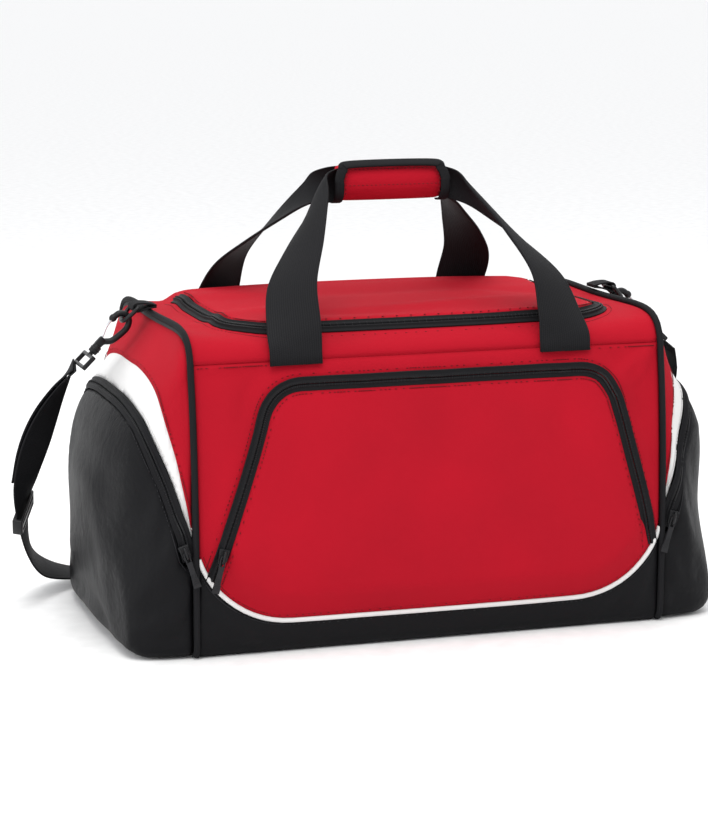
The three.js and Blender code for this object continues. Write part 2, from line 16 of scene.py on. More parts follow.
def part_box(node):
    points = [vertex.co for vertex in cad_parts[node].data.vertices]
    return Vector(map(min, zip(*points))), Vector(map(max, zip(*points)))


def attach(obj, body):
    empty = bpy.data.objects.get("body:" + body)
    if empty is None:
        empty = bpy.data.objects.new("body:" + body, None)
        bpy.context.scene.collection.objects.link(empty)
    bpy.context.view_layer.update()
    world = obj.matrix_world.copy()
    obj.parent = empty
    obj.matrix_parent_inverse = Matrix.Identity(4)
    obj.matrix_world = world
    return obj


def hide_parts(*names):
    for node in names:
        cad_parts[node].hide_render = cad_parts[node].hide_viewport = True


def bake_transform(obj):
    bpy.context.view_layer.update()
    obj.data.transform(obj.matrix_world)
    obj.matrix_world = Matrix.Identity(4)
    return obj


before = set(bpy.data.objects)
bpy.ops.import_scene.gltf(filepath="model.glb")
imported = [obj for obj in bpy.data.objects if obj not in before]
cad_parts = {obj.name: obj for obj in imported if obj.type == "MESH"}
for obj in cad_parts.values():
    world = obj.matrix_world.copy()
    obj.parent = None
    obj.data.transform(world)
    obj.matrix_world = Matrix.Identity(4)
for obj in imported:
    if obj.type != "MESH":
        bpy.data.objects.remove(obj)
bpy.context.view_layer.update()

bl_info = {
    "name": "Sports Holdall",
    "version": (1, 0, 0),
    "blender": (4, 5, 0),
    "location": "View3D > Sidebar > Holdall",
    "description": "Panels, zips, webbing, fittings and cloth of a sports holdall",
    "category": "Mesh",
}

MM = 0.001

# ---------------------------------------------------------------- places taken from the frame
HALF_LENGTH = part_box("front_panel")[1].x  # half the main compartment
TRIM_FOOT = 0.031  # height of the white trim in the middle of the bag
TRIM_END = 0.122  # height where the trim meets the end piping
TRIM_CORNER = 0.092  # how far the trim's curved corner reaches along the bag
SEAM_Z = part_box("front_panel")[1].z
DOME_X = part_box("right_pocket_zip")[0].x - 0.0014  # where an end pocket starts
DOME_SHARE = 0.955  # how much of an end pocket's drawn reach its stuffed cloth keeps
DOME_CENTRE_Z = 0.120  # height that an end pocket's rings close towards
HALF_DEPTH = 0.153
WALL_BULGE = 0.011
TOP_Z = 0.298
LID_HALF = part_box("lid_panel")[1].x
LID_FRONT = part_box("lid_panel")[0].y
LID_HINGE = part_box("lid_panel")[1].y
LID_CORNER = 0.044
LID_NARROWER, LID_SHIFT = 0.005, 0.004  # how the stuffed lid draws in and leans along the bag
ARCH_FOOT_HALF, ARCH_TOP_HALF = 0.2165, 0.174  # half widths of the front pocket's zip line
ARCH_FOOT_Z, ARCH_SHOULDER_Z, ARCH_TOP_Z, ARCH_CORNER = 0.074, 0.214, 0.250, 0.040
ARCH_SHIFT, ARCH_LEAN = 0.002, 0.034  # the stuffed pocket's shift along the bag, foot and per height

# One side of a carry handle, from its sewn end to the grip: place, direction across, width.
HANDLE_ROUTE = [
    (-0.131, -0.1575, 0.268, 1, 0, 0, 0.050),
    (-0.131, -0.1555, 0.283, 1, 0, 0, 0.050),
    (-0.130, -0.1450, 0.303, 0.93, -0.33, 0, 0.050),
    (-0.126, -0.1180, 0.335, 0.80, -0.55, 0.12, 0.049),
    (-0.107, -0.0840, 0.366, 0.74, -0.48, 0.42, 0.045),
    (-0.086, -0.0500, 0.393, 0.62, -0.20, 0.72, 0.037),
    (-0.070, -0.0240, 0.411, 0.45, 0.05, 0.88, 0.031),
    (-0.056, -0.0140, 0.418, 0.20, 0, 1, 0.030),
    (-0.040, -0.0120, 0.420, 0, 0, 1, 0.030),
]
GRIP_X = 0.004  # the grip sits a little towards the right
GRIP_HALF, GRIP_Z, GRIP_HEIGHT, GRIP_DEPTH = 0.0545, 0.420, 0.038, 0.024
HANDLE_X, HANDLE_Y = 0.131, 0.1575  # where the carry handles are sewn on

# The shoulder strap's middle line: place and direction across.
STRAP_ROUTE = [
    (-0.303, 0.014, 0.251, 0.1, 1, 0),
    (-0.315, 0.018, 0.232, 0.5, 0.85, 0.1),
    (-0.329, 0.023, 0.205, 0.75, 0.6, 0.2),
    (-0.341, 0.031, 0.172, 0.8, 0.5, 0.1),
    (-0.349, 0.043, 0.137, 0.7, 0.65, 0.1),
    (-0.350, 0.060, 0.102, 0.35, 0.7, 0.45),
    (-0.343, 0.082, 0.070, 0.1, 0.6, 0.75),
    (-0.331, 0.113, 0.043, -0.2, 0.6, 0.75),
    (-0.311, 0.146, 0.025, -0.4, 0.7, 0.5),
    (-0.281, 0.174, 0.012, -0.45, 0.85, 0.2),
    (-0.241, 0.195, 0.004, -0.4, 0.9, 0),
    (-0.185, 0.208, 0.0012, -0.2, 1, 0),
    (-0.100, 0.214, 0.0012, -0.05, 1, 0),
    (0, 0.216, 0.0012, 0, 1, 0),
    (0.100, 0.214, 0.0012, 0.05, 1, 0),
    (0.185, 0.208, 0.0012, 0.2, 1, 0),
    (0.241, 0.196, 0.004, 0.35, 0.9, 0),
    (0.280, 0.179, 0.014, 0.4, 0.85, 0.15),
    (0.305, 0.158, 0.034, 0.4, 0.8, 0.35),
    (0.319, 0.132, 0.066, 0.3, 0.85, 0.4),
    (0.324, 0.103, 0.104, 0.2, 0.9, 0.35),
    (0.326, 0.080, 0.143, 0.1, 0.95, 0.25),
    (0.324, 0.058, 0.180, 0, 1, 0.2),
    (0.317, 0.032, 0.219, -0.1, 1, 0.05),
    (0.306, 0.015, 0.247, -0.1, 1, 0),
]
STRAP_WIDTH, STRAP_THICKNESS = 0.038, 0.0016
ADJUSTER_ROW = 5
RETURN_SPREAD = [0.0026, 0.004, 0.0045, 0.004, 0.0034]  # gap between the strap and its doubled end

# An end pocket's rings: distance out, then shares of the depth, the height above and below.
DOME = [
    (0, 1, 0.985, 1),
    (0.012, 0.99, 0.905, 1),
    (0.025, 0.968, 0.805, 1),
    (0.035, 0.945, 0.72, 1),
    (0.045, 0.895, 0.63, 0.995),
    (0.055, 0.82, 0.535, 0.965),
    (0.065, 0.70, 0.42, 0.9),
    (0.072, 0.56, 0.315, 0.79),
    (0.0765, 0.38, 0.2, 0.58),
    (0.078, 0.19, 0.1, 0.29),
    (0.0784, 0.03, 0.012, 0.03),
]
# Seams of an end pocket: distance out and height.
BAND_SEAM = [(-0.006, 0.112), (0, 0.12), (0.0035, 0.14), (0.0105, 0.172), (0.018, 0.201),
             (0.0235, 0.226), (0.0262, 0.25), (0.027, 0.33)]
POCKET_ZIP = [(-0.004, 0.078), (0.002, 0.092), (0.009, 0.12), (0.020, 0.152), (0.0315, 0.184),
              (0.0405, 0.212), (0.0455, 0.24), (0.047, 0.33)]

# A snap hook and its gate, along the hook and above it, from the ring.
HOOK_PATH = [(34, 0), (27, -1), (21, -6), (12, -8), (2, -8.5), (-5, -5), (-7, 1), (-3.5, 6.5), (3.5, 8)]
GATE_PATH = [(4.8, 8), (14, 7), (23.5, 3.2)]
HOOK_SLOPE = math.atan2(0.7, 0.71)
RING_X, RING_Y, RING_Z, RING_HALF, RING_REACH = 0.244, 0.014, 0.3055, 0.014, 0.0185

# Zip sliders at rest: place on the cloth, direction along the zip, direction away from the cloth.
SLIDERS = {
    "front_pocket": ((-0.2065, -0.1734, 0.098), (0.264, 0, 1), (0, -1, 0)),
    "left_pocket": ((-0.2395, -0.1635, 0.102), (-0.32, 0, 1), (0, -1, 0)),
    "right_pocket": ((0.2395, -0.1635, 0.102), (0.32, 0, 1), (0, -1, 0)),
    "main_zip": ((0.196, 0.074, 0.3050), (0, -1, 0), (0, 0, 1)),
}
PIN_HEIGHT = 0.0056


# ---------------------------------------------------------------- properties
def length(name, default, description):
    return bpy.props.FloatProperty(name=name, default=default, description=description,
                                   subtype="DISTANCE", unit="LENGTH", precision=5)


def colour(name, default, description):
    return bpy.props.FloatVectorProperty(name=name, default=default, description=description,
                                         subtype="COLOR", size=3, min=0, max=1)


class HoldallSizes(bpy.types.PropertyGroup):
    """Sizes of the cloth and its seams"""

    cloth: length("Cloth", 0.0016, "Thickness of a panel with its lining")
    tuck: length("Seam tuck", 0.0014, "How far a panel dips into its seam")
    tuck_width: length("Tuck width", 0.005, "How wide the dip along a seam is")
    crown: length("Top crown", 0.006, "How far the top rises towards the back, between the ends")
    lid_rise: length("Lid rise", 0.009, "How far the lid stands above the cloth round its zip")
    pocket_rise: length("Pocket rise", 0.0085, "How far the front pocket stands out")
    trim_width: length("Trim width", 0.0046, "Width of the white trim")
    piping: length("Piping", 0.0031, "Radius of the corded end seams")
    stitch: length("Stitch", 0.0026, "Length of one stitch")
    stitch_gap: length("Stitch gap", 0.0014, "Gap between stitches")
    thread: length("Thread", 0.00050, "Radius of the thread")
    tooth: length("Zip tooth", 0.0017, "Spacing of the zip teeth")
    webbing: length("Webbing", 0.0024, "Thickness of the carry webbing")


class HoldallColours(bpy.types.PropertyGroup):
    """Colours of the cloths, trims and fittings"""

    red: colour("Red cloth", (0.395, 0.0045, 0.0155), "Main cloth")
    black: colour("Black nylon", (0.0055, 0.0055, 0.0065), "Base and end pockets")
    white: colour("White trim", (0.66, 0.655, 0.65), "Trim and bands")
    webbing: colour("Webbing", (0.010, 0.010, 0.011), "Handles and strap")
    tape: colour("Zip tape", (0.010, 0.010, 0.011), "Zip tapes")
    plastic: colour("Plastic", (0.007, 0.007, 0.008), "Rings, hooks and sliders")
    lining: colour("Lining", (0.03, 0.03, 0.033), "Inside cloth")
    steel: colour("Steel", (0.62, 0.63, 0.65), "Hook gates")
    floor: colour("Floor", (0.95, 0.95, 0.95), "Studio floor")


# ---------------------------------------------------------------- shader arithmetic
class Value:
    """A socket that takes part in arithmetic: each operation adds one Math node."""

    def __init__(self, paint, socket):
        self.paint = paint
        self.socket = socket

    def math(self, operation, *others):
        node = self.paint.node("ShaderNodeMath", {"operation": operation},
                               dict(enumerate([self, *others])))
        return Value(self.paint, node.outputs[0])

    def __add__(self, other):
        return self.math("ADD", other)

    def __sub__(self, other):
        return self.math("SUBTRACT", other)

    def __mul__(self, other):
        return self.math("MULTIPLY", other)

    def __truediv__(self, other):
        return self.math("DIVIDE", other)

    def __rsub__(self, other):
        return (self * -1) + other

    __radd__ = __add__
    __rmul__ = __mul__

    def sin(self):
        return self.math("SINE")

    def absolute(self):
        return self.math("ABSOLUTE")

    def clamp(self):
        return self.math("MAXIMUM", 0).math("MINIMUM", 1)


class Paint:
    """A material under construction."""

    def __init__(self, name):
        self.material = bpy.data.materials.new(name)
        self.material.use_nodes = True
        self.nodes = self.material.node_tree.nodes
        self.links = self.material.node_tree.links
        self.shader = self.nodes["Principled BSDF"]

    def node(self, kind, settings=None, inputs=None):
        """Adds a node of the given kind, sets its settings, then its sockets' values or links."""
        node = self.nodes.new(kind)
        for key, value in (settings or {}).items():
            setattr(node, key, value)
        self.join(node, inputs or {})
        return node

    def join(self, node, inputs):
        for key, value in inputs.items():
            if isinstance(value, Value):
                self.links.new(value.socket, node.inputs[key])
            elif isinstance(value, bpy.types.NodeSocket):
                self.links.new(value, node.inputs[key])
            else:
                node.inputs[key].default_value = value

    def set(self, **inputs):
        self.join(self.shader, {key.replace("_", " "): value for key, value in inputs.items()})

    def cloth_coordinates(self):
        """The piece's own coordinates, in metres: across the threads and along them."""
        uv = self.node("ShaderNodeUVMap", {"uv_map": "cloth"})
        split = self.node("ShaderNodeSeparateXYZ", {}, {0: uv.outputs[0]})
        return Value(self, split.outputs[0]), Value(self, split.outputs[1]), uv.outputs[0]

    def noise(self, scale, detail=2.0, vector=None, roughness=0.5):
        if vector is None:
            vector = self.node("ShaderNodeTexCoord").outputs["Object"]
        made = self.node("ShaderNodeTexNoise", {},
                         {"Vector": vector, "Scale": scale, "Detail": detail, "Roughness": roughness})
        return Value(self, made.outputs[0])

    def blend(self, factor, low, high):
        """A colour between two, by a value from 0 to 1."""
        node = self.node("ShaderNodeMix", {"data_type": "RGBA"}, {0: factor, 6: low, 7: high})
        return node.outputs[2]

    def bump(self, height, distance, strength=1.0, base=None):
        node = self.node("ShaderNodeBump", {}, {"Height": height, "Distance": distance,
                                                "Strength": strength})
        if base is not None:
            self.links.new(base, node.inputs["Normal"])
        return node.outputs[0]


def shade(colour_value, factor):
    return (*[min(1.0, c * factor) for c in colour_value], 1)


def woven(name, tint, pitch, roughness, depth, sheen, mottle=0.14, crinkle=0.0, gloss=0.12):
    """Plain woven cloth: threads cross at the given pitch, with a slight unevenness."""
    paint = Paint(name)
    u, v, uv = paint.cloth_coordinates()
    turn = 2 * math.pi / pitch
    weave = (u * turn).sin() * (v * turn).sin() * 0.5 + 0.5
    fibre = paint.noise(1600, 3, uv)
    patches = paint.noise(11, 3)
    tone = (weave * 0.35 + fibre * 0.35 + patches * 0.5 - 0.1).clamp()
    paint.set(Base_Color=paint.blend(tone, shade(tint, 1 - 1.6 * mottle), shade(tint, 1 + mottle)))
    paint.set(Roughness=(fibre * 0.1 + patches * 0.08 + (roughness - 0.09)).clamp())
    normal = paint.bump(weave + fibre * 0.6, depth, 0.7)
    if crinkle:
        folds = paint.noise(55, 2, None, 0.6) + paint.noise(160, 2, None, 0.5) * 0.3
        normal = paint.bump(folds, crinkle, 0.8, normal)
    paint.set(Normal=normal, Sheen_Weight=sheen, Sheen_Roughness=0.5,
              Specular_IOR_Level=gloss)
    return paint.material


def ribbed(name, tint, rib, pick, roughness, depth):
    """Webbing or tape: ribs along the length, crossed by fine picks."""
    paint = Paint(name)
    u, v, uv = paint.cloth_coordinates()
    ribs = (u * (math.pi / rib)).sin().absolute()
    picks = (v * (2 * math.pi / pick) + (u * (math.pi / rib)).sin() * 2.0).sin() * 0.5 + 0.5
    fibre = paint.noise(1400, 3, uv)
    wear = paint.noise(25, 3)
    tone = (ribs * 0.45 + picks * 0.25 + fibre * 0.3 + wear * 0.2 - 0.1).clamp()
    paint.set(Base_Color=paint.blend(tone, shade(tint, 0.45), shade(tint, 1.7)))
    paint.set(Roughness=(fibre * 0.15 + wear * 0.1 + (roughness - 0.12)).clamp())
    paint.set(Normal=paint.bump(ribs + picks * 0.5 + fibre * 0.3, depth, 0.8), Sheen_Weight=0.0,
              Specular_IOR_Level=0.06)
    return paint.material


def moulded(name, tint, roughness, grain, metallic=0.0, scale=900, gloss=0.24):
    """Moulded plastic, rubber or drawn metal with a fine surface grain and faint rubbing."""
    paint = Paint(name)
    fine = paint.noise(scale, 2)
    rubbed = paint.noise(45, 4)
    paint.set(Base_Color=paint.blend(rubbed, shade(tint, 0.85), shade(tint, 1.25)))
    paint.set(Roughness=(rubbed * 0.2 + fine * 0.08 + (roughness - 0.14)).clamp())
    paint.set(Normal=paint.bump(fine, grain, 0.6), Metallic=metallic, Specular_IOR_Level=gloss)
    return paint.material


def smooth_coated(name, tint):
    """White coated cloth with a faint backing weave."""
    paint = Paint(name)
    u, v, _ = paint.cloth_coordinates()
    weave = (u * 5200).sin() * (v * 5200).sin() * 0.5 + 0.5
    soft = paint.noise(30, 3)
    paint.set(Base_Color=paint.blend(soft, shade(tint, 0.94), shade(tint, 1.04)))
    paint.set(Roughness=(soft * 0.15 + 0.45).clamp(), Normal=paint.bump(weave, 0.00004, 0.6))
    return paint.material


FINISHES = {}


def make_finishes(colours):
    """Every material of the bag, by a short name."""
    FINISHES.update(
        red=woven("red_polyester", colours.red, 0.0012, 0.86, 0.00022, 0.0, 0.19),
        black=woven("black_nylon", colours.black, 0.0008, 0.46, 0.00007, 0.0, 0.2, 0.0017, 0.10),
        white=smooth_coated("white_coated_cloth", colours.white),
        lining=woven("lining_cloth", colours.lining, 0.0007, 0.7, 0.00006, 0.1),
        webbing=ribbed("ribbed_webbing", colours.webbing, 0.0021, 0.0016, 0.62, 0.00022),
        binding=ribbed("edge_binding", colours.webbing, 0.0014, 0.0011, 0.66, 0.00014),
        tape=ribbed("zip_tape", colours.tape, 0.0012, 0.0009, 0.55, 0.0001),
        teeth=moulded("zip_coil", colours.plastic, 0.32, 0.00001),
        plastic=moulded("black_acetal", colours.plastic, 0.36, 0.00002),
        rubber=moulded("pull_rubber", shade(colours.plastic, 1.6)[:3], 0.55, 0.00005, 0.0, 1500),
        steel=moulded("bright_wire", colours.steel, 0.3, 0.00001, 1.0),
        board=moulded("board_sheet", shade(colours.lining, 1.5)[:3], 0.6, 0.00004, 0.0, 500),
        red_thread=moulded("red_thread", shade(colours.red, 0.3)[:3], 0.75, 0.00003, 0.0, 3000),
        black_thread=moulded("black_thread", shade(colours.black, 2.2)[:3], 0.6, 0.00003, 0.0, 3000),
        floor=moulded("studio_floor", colours.floor, 0.9, 0.00001, 0.0, 30),
    )


# ---------------------------------------------------------------- curves and profiles
def catmull(rows, count):
    """A smooth curve through rows of numbers, as count rows evenly spread over the rows."""
    rows = np.array(rows, float)
    t = np.linspace(0, len(rows) - 1, count)
    k = np.clip(t.astype(int), 0, len(rows) - 2)
    f = (t - k)[:, None]
    last = len(rows) - 1
    before = np.where((k == 0)[:, None], 2 * rows[k] - rows[k + 1], rows[np.maximum(k - 1, 0)])
    after = np.where((k + 2 > last)[:, None], 2 * rows[k + 1] - rows[k], rows[np.minimum(k + 2, last)])
    a, b = rows[k], rows[k + 1]
    return 0.5 * (2 * a + (b - before) * f + (2 * before - 5 * a + 4 * b - after) * f**2
                  + (3 * a - before - 3 * b + after) * f**3)


def even(points, count, closed=False):
    """The same line with count points evenly spaced along it."""
    points = np.array(points, float)
    if closed:
        points = np.vstack([points, points[:1]])
    run = np.concatenate([[0], np.cumsum(np.linalg.norm(np.diff(points, axis=0), axis=1))])
    places = np.linspace(0, run[-1], count, endpoint=not closed)
    return np.stack([np.interp(places, run, column) for column in points.T], axis=1)


def run_length(points):
    return float(np.linalg.norm(np.diff(np.array(points), axis=0), axis=1).sum())


def bezier(a, b, c, d, count=24):
    t = np.linspace(0, 1, count)[:, None]
    a, b, c, d = (np.array(p, float) for p in (a, b, c, d))
    return (1 - t)**3 * a + 3 * (1 - t)**2 * t * b + 3 * (1 - t) * t**2 * c + t**3 * d


def section_outline():
    """The bag's closed outline in (y, z), from the middle of the bottom, up the front and over."""
    corner, wall = (-(HALF_DEPTH - 0.004), 0), (-(HALF_DEPTH + 0.007), 0.014)
    bend = (-(HALF_DEPTH + 0.0065), 0)
    swell = -(HALF_DEPTH + WALL_BULGE)
    shoulder = (-HALF_DEPTH, 0.262)
    half = np.vstack([
        [(0, 0)],
        bezier(corner, (np.array(corner) + 2 * np.array(bend)) / 3,
               (np.array(wall) + 2 * np.array(bend)) / 3, wall),
        bezier(wall, (swell, 0.105), (swell, 0.200), shoulder)[1:],
        bezier(shoulder, (-(HALF_DEPTH - 0.001), TOP_Z + 0.012), (-0.110, TOP_Z), (0, TOP_Z))[1:],
    ])
    return np.vstack([half, (half * [-1, 1])[-2:0:-1]])


def signed_distance(points, outline):
    """Distance from points to a closed outline, positive inside."""
    points, outline = np.array(points, float), np.array(outline, float)
    nearest = np.full(len(points), 1e9)
    inside = np.zeros(len(points), bool)
    for a, b in zip(outline, np.roll(outline, -1, axis=0)):
        along = b - a
        t = np.clip((points - a) @ along / max(along @ along, 1e-18), 0, 1)
        nearest = np.minimum(nearest, np.linalg.norm(points - a - t[:, None] * along, axis=1))
        crosses = (points[:, 1] < a[1]) != (points[:, 1] < b[1])
        if abs(along[1]) > 1e-12:
            at = a[0] + (points[:, 1] - a[1]) / along[1] * along[0]
            inside ^= crosses & (points[:, 0] < at)
    return np.where(inside, nearest, -nearest)


def grown(outline, by):
    """An open or closed line moved sideways, to the left of its direction."""
    outline = np.array(outline, float)
    along = np.gradient(outline, axis=0)
    along /= np.linalg.norm(along, axis=1)[:, None]
    return outline + by * np.stack([-along[:, 1], along[:, 0]], axis=1)


def smoothstep(low, high, values):
    t = np.clip((np.asarray(values) - low) / (high - low), 0, 1)
    return t * t * (3 - 2 * t)


def arc(cx, cz, rx, rz, start, stop, count=16):
    t = np.radians(np.linspace(start, stop, count))
    return np.stack([cx + rx * np.cos(t), cz + rz * np.sin(t)], axis=1)


def trim_line():
    """The white trim's line on the front or back, in (x, z), from the left end to the right."""
    end = HALF_LENGTH + 0.003
    straight = end - TRIM_CORNER
    rise = TRIM_END - TRIM_FOOT
    return np.vstack([
        arc(-straight, TRIM_END, TRIM_CORNER, rise, 180, 270),
        arc(straight, TRIM_END, TRIM_CORNER, rise, 270, 360),
    ])


def arch_line():
    """The front pocket's zip line in (x, z), from its left foot over the top to its right foot."""
    slope = (ARCH_FOOT_HALF - ARCH_TOP_HALF) / (ARCH_SHOULDER_Z - ARCH_FOOT_Z)
    foot = ARCH_FOOT_HALF + slope * ARCH_FOOT_Z
    bend = (-(ARCH_TOP_HALF - 0.008), ARCH_TOP_Z)
    start, stop = (-ARCH_TOP_HALF, ARCH_SHOULDER_Z), (-(ARCH_TOP_HALF - ARCH_CORNER), ARCH_TOP_Z)
    corner = bezier(start, (np.array(start) + 2 * np.array(bend)) / 3,
                    (np.array(stop) + 2 * np.array(bend)) / 3, stop, 16)
    left = np.vstack([[(-foot, 0)], corner])
    line = np.vstack([left, (left * [-1, 1])[::-1]])
    line[:, 0] += ARCH_SHIFT + ARCH_LEAN * (line[:, 1] - ARCH_FOOT_Z)
    return line


def lid_line(grow=0.0):
    """The lid's zipped edge in (x, y), from the left end of the hinge round the front."""
    x, front, corner = LID_HALF - LID_NARROWER + grow, LID_FRONT - grow, LID_CORNER + grow
    left = np.vstack([[(-x, LID_HINGE)], arc(-x + corner, front + corner, corner, corner, 180, 270)])
    return np.vstack([left, (left * [-1, 1])[::-1]]) + [LID_SHIFT, 0]


def crown(points):
    """How far the stuffed cloth rises above its drawn place on the top, most behind the lid's middle."""
    size = SIZES()
    top = smoothstep(0.225, 0.295, points[:, 2])
    span = np.clip(1 - (np.abs(points[:, 0]) / HALF_LENGTH)**2.6, 0, 1)
    lid = lid_line(0.0)
    lid[[0, -1], 1] = 0.137
    inside = signed_distance(points[:, :2], lid)
    ramp = smoothstep(-0.0150, 0.0030, inside) * (points[:, 2] > 0.24)
    return (size.crown * span * top * smoothstep(-0.12, 0.10, points[:, 1])
            + size.lid_rise * ramp * (0.25 + 0.75 * np.minimum(1, span * 1.9)))


# Soft folds: which side, centre along and up (or across) it, heading in degrees, length, width, height.
FOLDS = {
    "front": [(0.196, 0.250, 35, 0.036, 0.006, 0.0030), (0.214, 0.256, 62, 0.026, 0.005, 0.0026),
              (0.190, 0.236, 14, 0.030, 0.005, 0.0015), (-0.196, 0.205, 80, 0.080, 0.012, 0.0020),
              (-0.120, 0.060, 8, 0.090, 0.016, -0.0015), (0.060, 0.020, 2, 0.160, 0.010, -0.0014),
              (0.205, 0.030, 60, 0.050, 0.009, 0.0030), (0.186, 0.018, 40, 0.040, 0.008, -0.0028),
              (-0.200, 0.040, -55, 0.060, 0.012, 0.0028), (-0.160, 0.014, -20, 0.060, 0.009, 0.0022),
              (0.120, 0.262, 4, 0.050, 0.006, -0.0012), (-0.190, 0.262, 6, 0.040, 0.006, -0.0012)],
    "top": [(-0.150, -0.060, 20, 0.090, 0.018, 0.0034), (-0.060, -0.085, -6, 0.120, 0.016, -0.0030),
            (0.070, -0.060, 10, 0.130, 0.020, 0.0034), (0.150, 0.010, -30, 0.090, 0.018, -0.0030),
            (0.000, 0.040, 4, 0.220, 0.024, -0.0036), (-0.140, 0.050, -14, 0.110, 0.020, 0.0028),
            (0.216, -0.060, 70, 0.060, 0.010, 0.0028), (-0.214, -0.040, 80, 0.070, 0.010, 0.0026),
            (0.120, -0.118, 3, 0.060, 0.009, 0.0020), (-0.205, 0.080, 60, 0.080, 0.012, -0.0024)],
    "end": [(0.040, 0.070, -50, 0.110, 0.016, 0.0042), (0.050, 0.130, -62, 0.100, 0.012, -0.0034),
            (0.020, 0.040, -30, 0.080, 0.012, 0.0036), (0.060, 0.170, -75, 0.080, 0.010, 0.0028),
            (0.014, 0.020, -12, 0.060, 0.010, -0.0028), (0.066, 0.060, 82, 0.090, 0.012, 0.0026)],
    "cap": [(-0.060, 0.110, 24, 0.150, 0.024, 0.0052), (0.050, 0.080, -30, 0.140, 0.022, 0.0048),
            (0.000, 0.160, 8, 0.160, 0.020, -0.0042), (-0.090, 0.050, 70, 0.100, 0.018, 0.0040),
            (0.090, 0.140, 60, 0.110, 0.018, 0.0038), (0.000, 0.030, 3, 0.180, 0.014, -0.0030)],
}


def folds(kind, across, up):
    """Height of the soft folds of one side at points given along and up it."""
    height = np.zeros(len(across))
    for cx, cz, heading, reach, width, lift in FOLDS[kind]:
        a = math.radians(heading)
        along = (across - cx) * math.cos(a) + (up - cz) * math.sin(a)
        side = (up - cz) * math.cos(a) - (across - cx) * math.sin(a)
        side = side - 0.12 * reach * (along / reach)**2
        height += lift * np.exp(-(along / reach)**2 * 2 - (side / width)**2)
    return height


# ---------------------------------------------------------------- shells
class Shell:
    """A soft surface on a grid of rows along it and closed columns round it.

    rest is where the pattern is drawn; soft is where the cloth lies. A place is (row, column).
    """

    def __init__(self, rest, flip=False):
        self.rest = np.array(rest, float)
        self.soft = self.rest.copy()
        self.flip = flip
        self.find_normals()

    def find_normals(self):
        down = np.gradient(self.soft, axis=0)
        round_ = (np.roll(self.soft, -1, axis=1) - np.roll(self.soft, 1, axis=1)) / 2
        normal = np.cross(down, round_) * (-1 if self.flip else 1)
        self.normal = normal / np.maximum(np.linalg.norm(normal, axis=2), 1e-12)[..., None]

    def read(self, grid, places):
        """The grid's value at places, on smooth curves through its points."""
        rows, columns = grid.shape[:2]
        i = np.clip(places[:, 0], 0, rows - 1 - 1e-9)
        i0, j0 = i.astype(int), np.floor(places[:, 1]).astype(int)
        fi, fj = i - i0, places[:, 1] - j0

        def weights(f):
            return np.stack([-0.5 * f + f**2 - 0.5 * f**3, 1 - 2.5 * f**2 + 1.5 * f**3,
                             0.5 * f + 2 * f**2 - 1.5 * f**3, -0.5 * f**2 + 0.5 * f**3])

        wi, wj = weights(fi), weights(fj)
        total = 0
        for a in range(4):
            k = i0 + a - 1
            low, high = k < 0, k > rows - 1
            inner = np.clip(k, 0, rows - 1)
            for b in range(4):
                c = (j0 + b - 1) % columns
                value = grid[inner, c]
                value = np.where(low[:, None], 2 * grid[0, c] - grid[1, c], value)
                value = np.where(high[:, None], 2 * grid[rows - 1, c] - grid[rows - 2, c], value)
                total = total + (wi[a] * wj[b])[:, None] * value
        return total

    def drawn(self, places):
        return self.read(self.rest, places)

    def place(self, places, lift=0.0):
        """Points on the cloth, lifted off it along its normal."""
        return self.read(self.soft, places) + self.facing(places) * np.reshape(lift, (-1, 1))

    def facing(self, places):
        normal = self.read(self.normal, places)
        return normal / np.maximum(np.linalg.norm(normal, axis=1), 1e-12)[:, None]

    def metres(self, places):
        """Places as distances along the rows and round the columns."""
        rows = np.concatenate([[0], np.cumsum(np.linalg.norm(
            np.diff(self.rest, axis=0), axis=2).mean(axis=1))])
        ring = self.rest[0]
        step = np.linalg.norm(ring - np.roll(ring, 1, axis=0), axis=1).mean()
        return np.stack([np.interp(places[:, 0], np.arange(len(rows)), rows), places[:, 1] * step], 1)


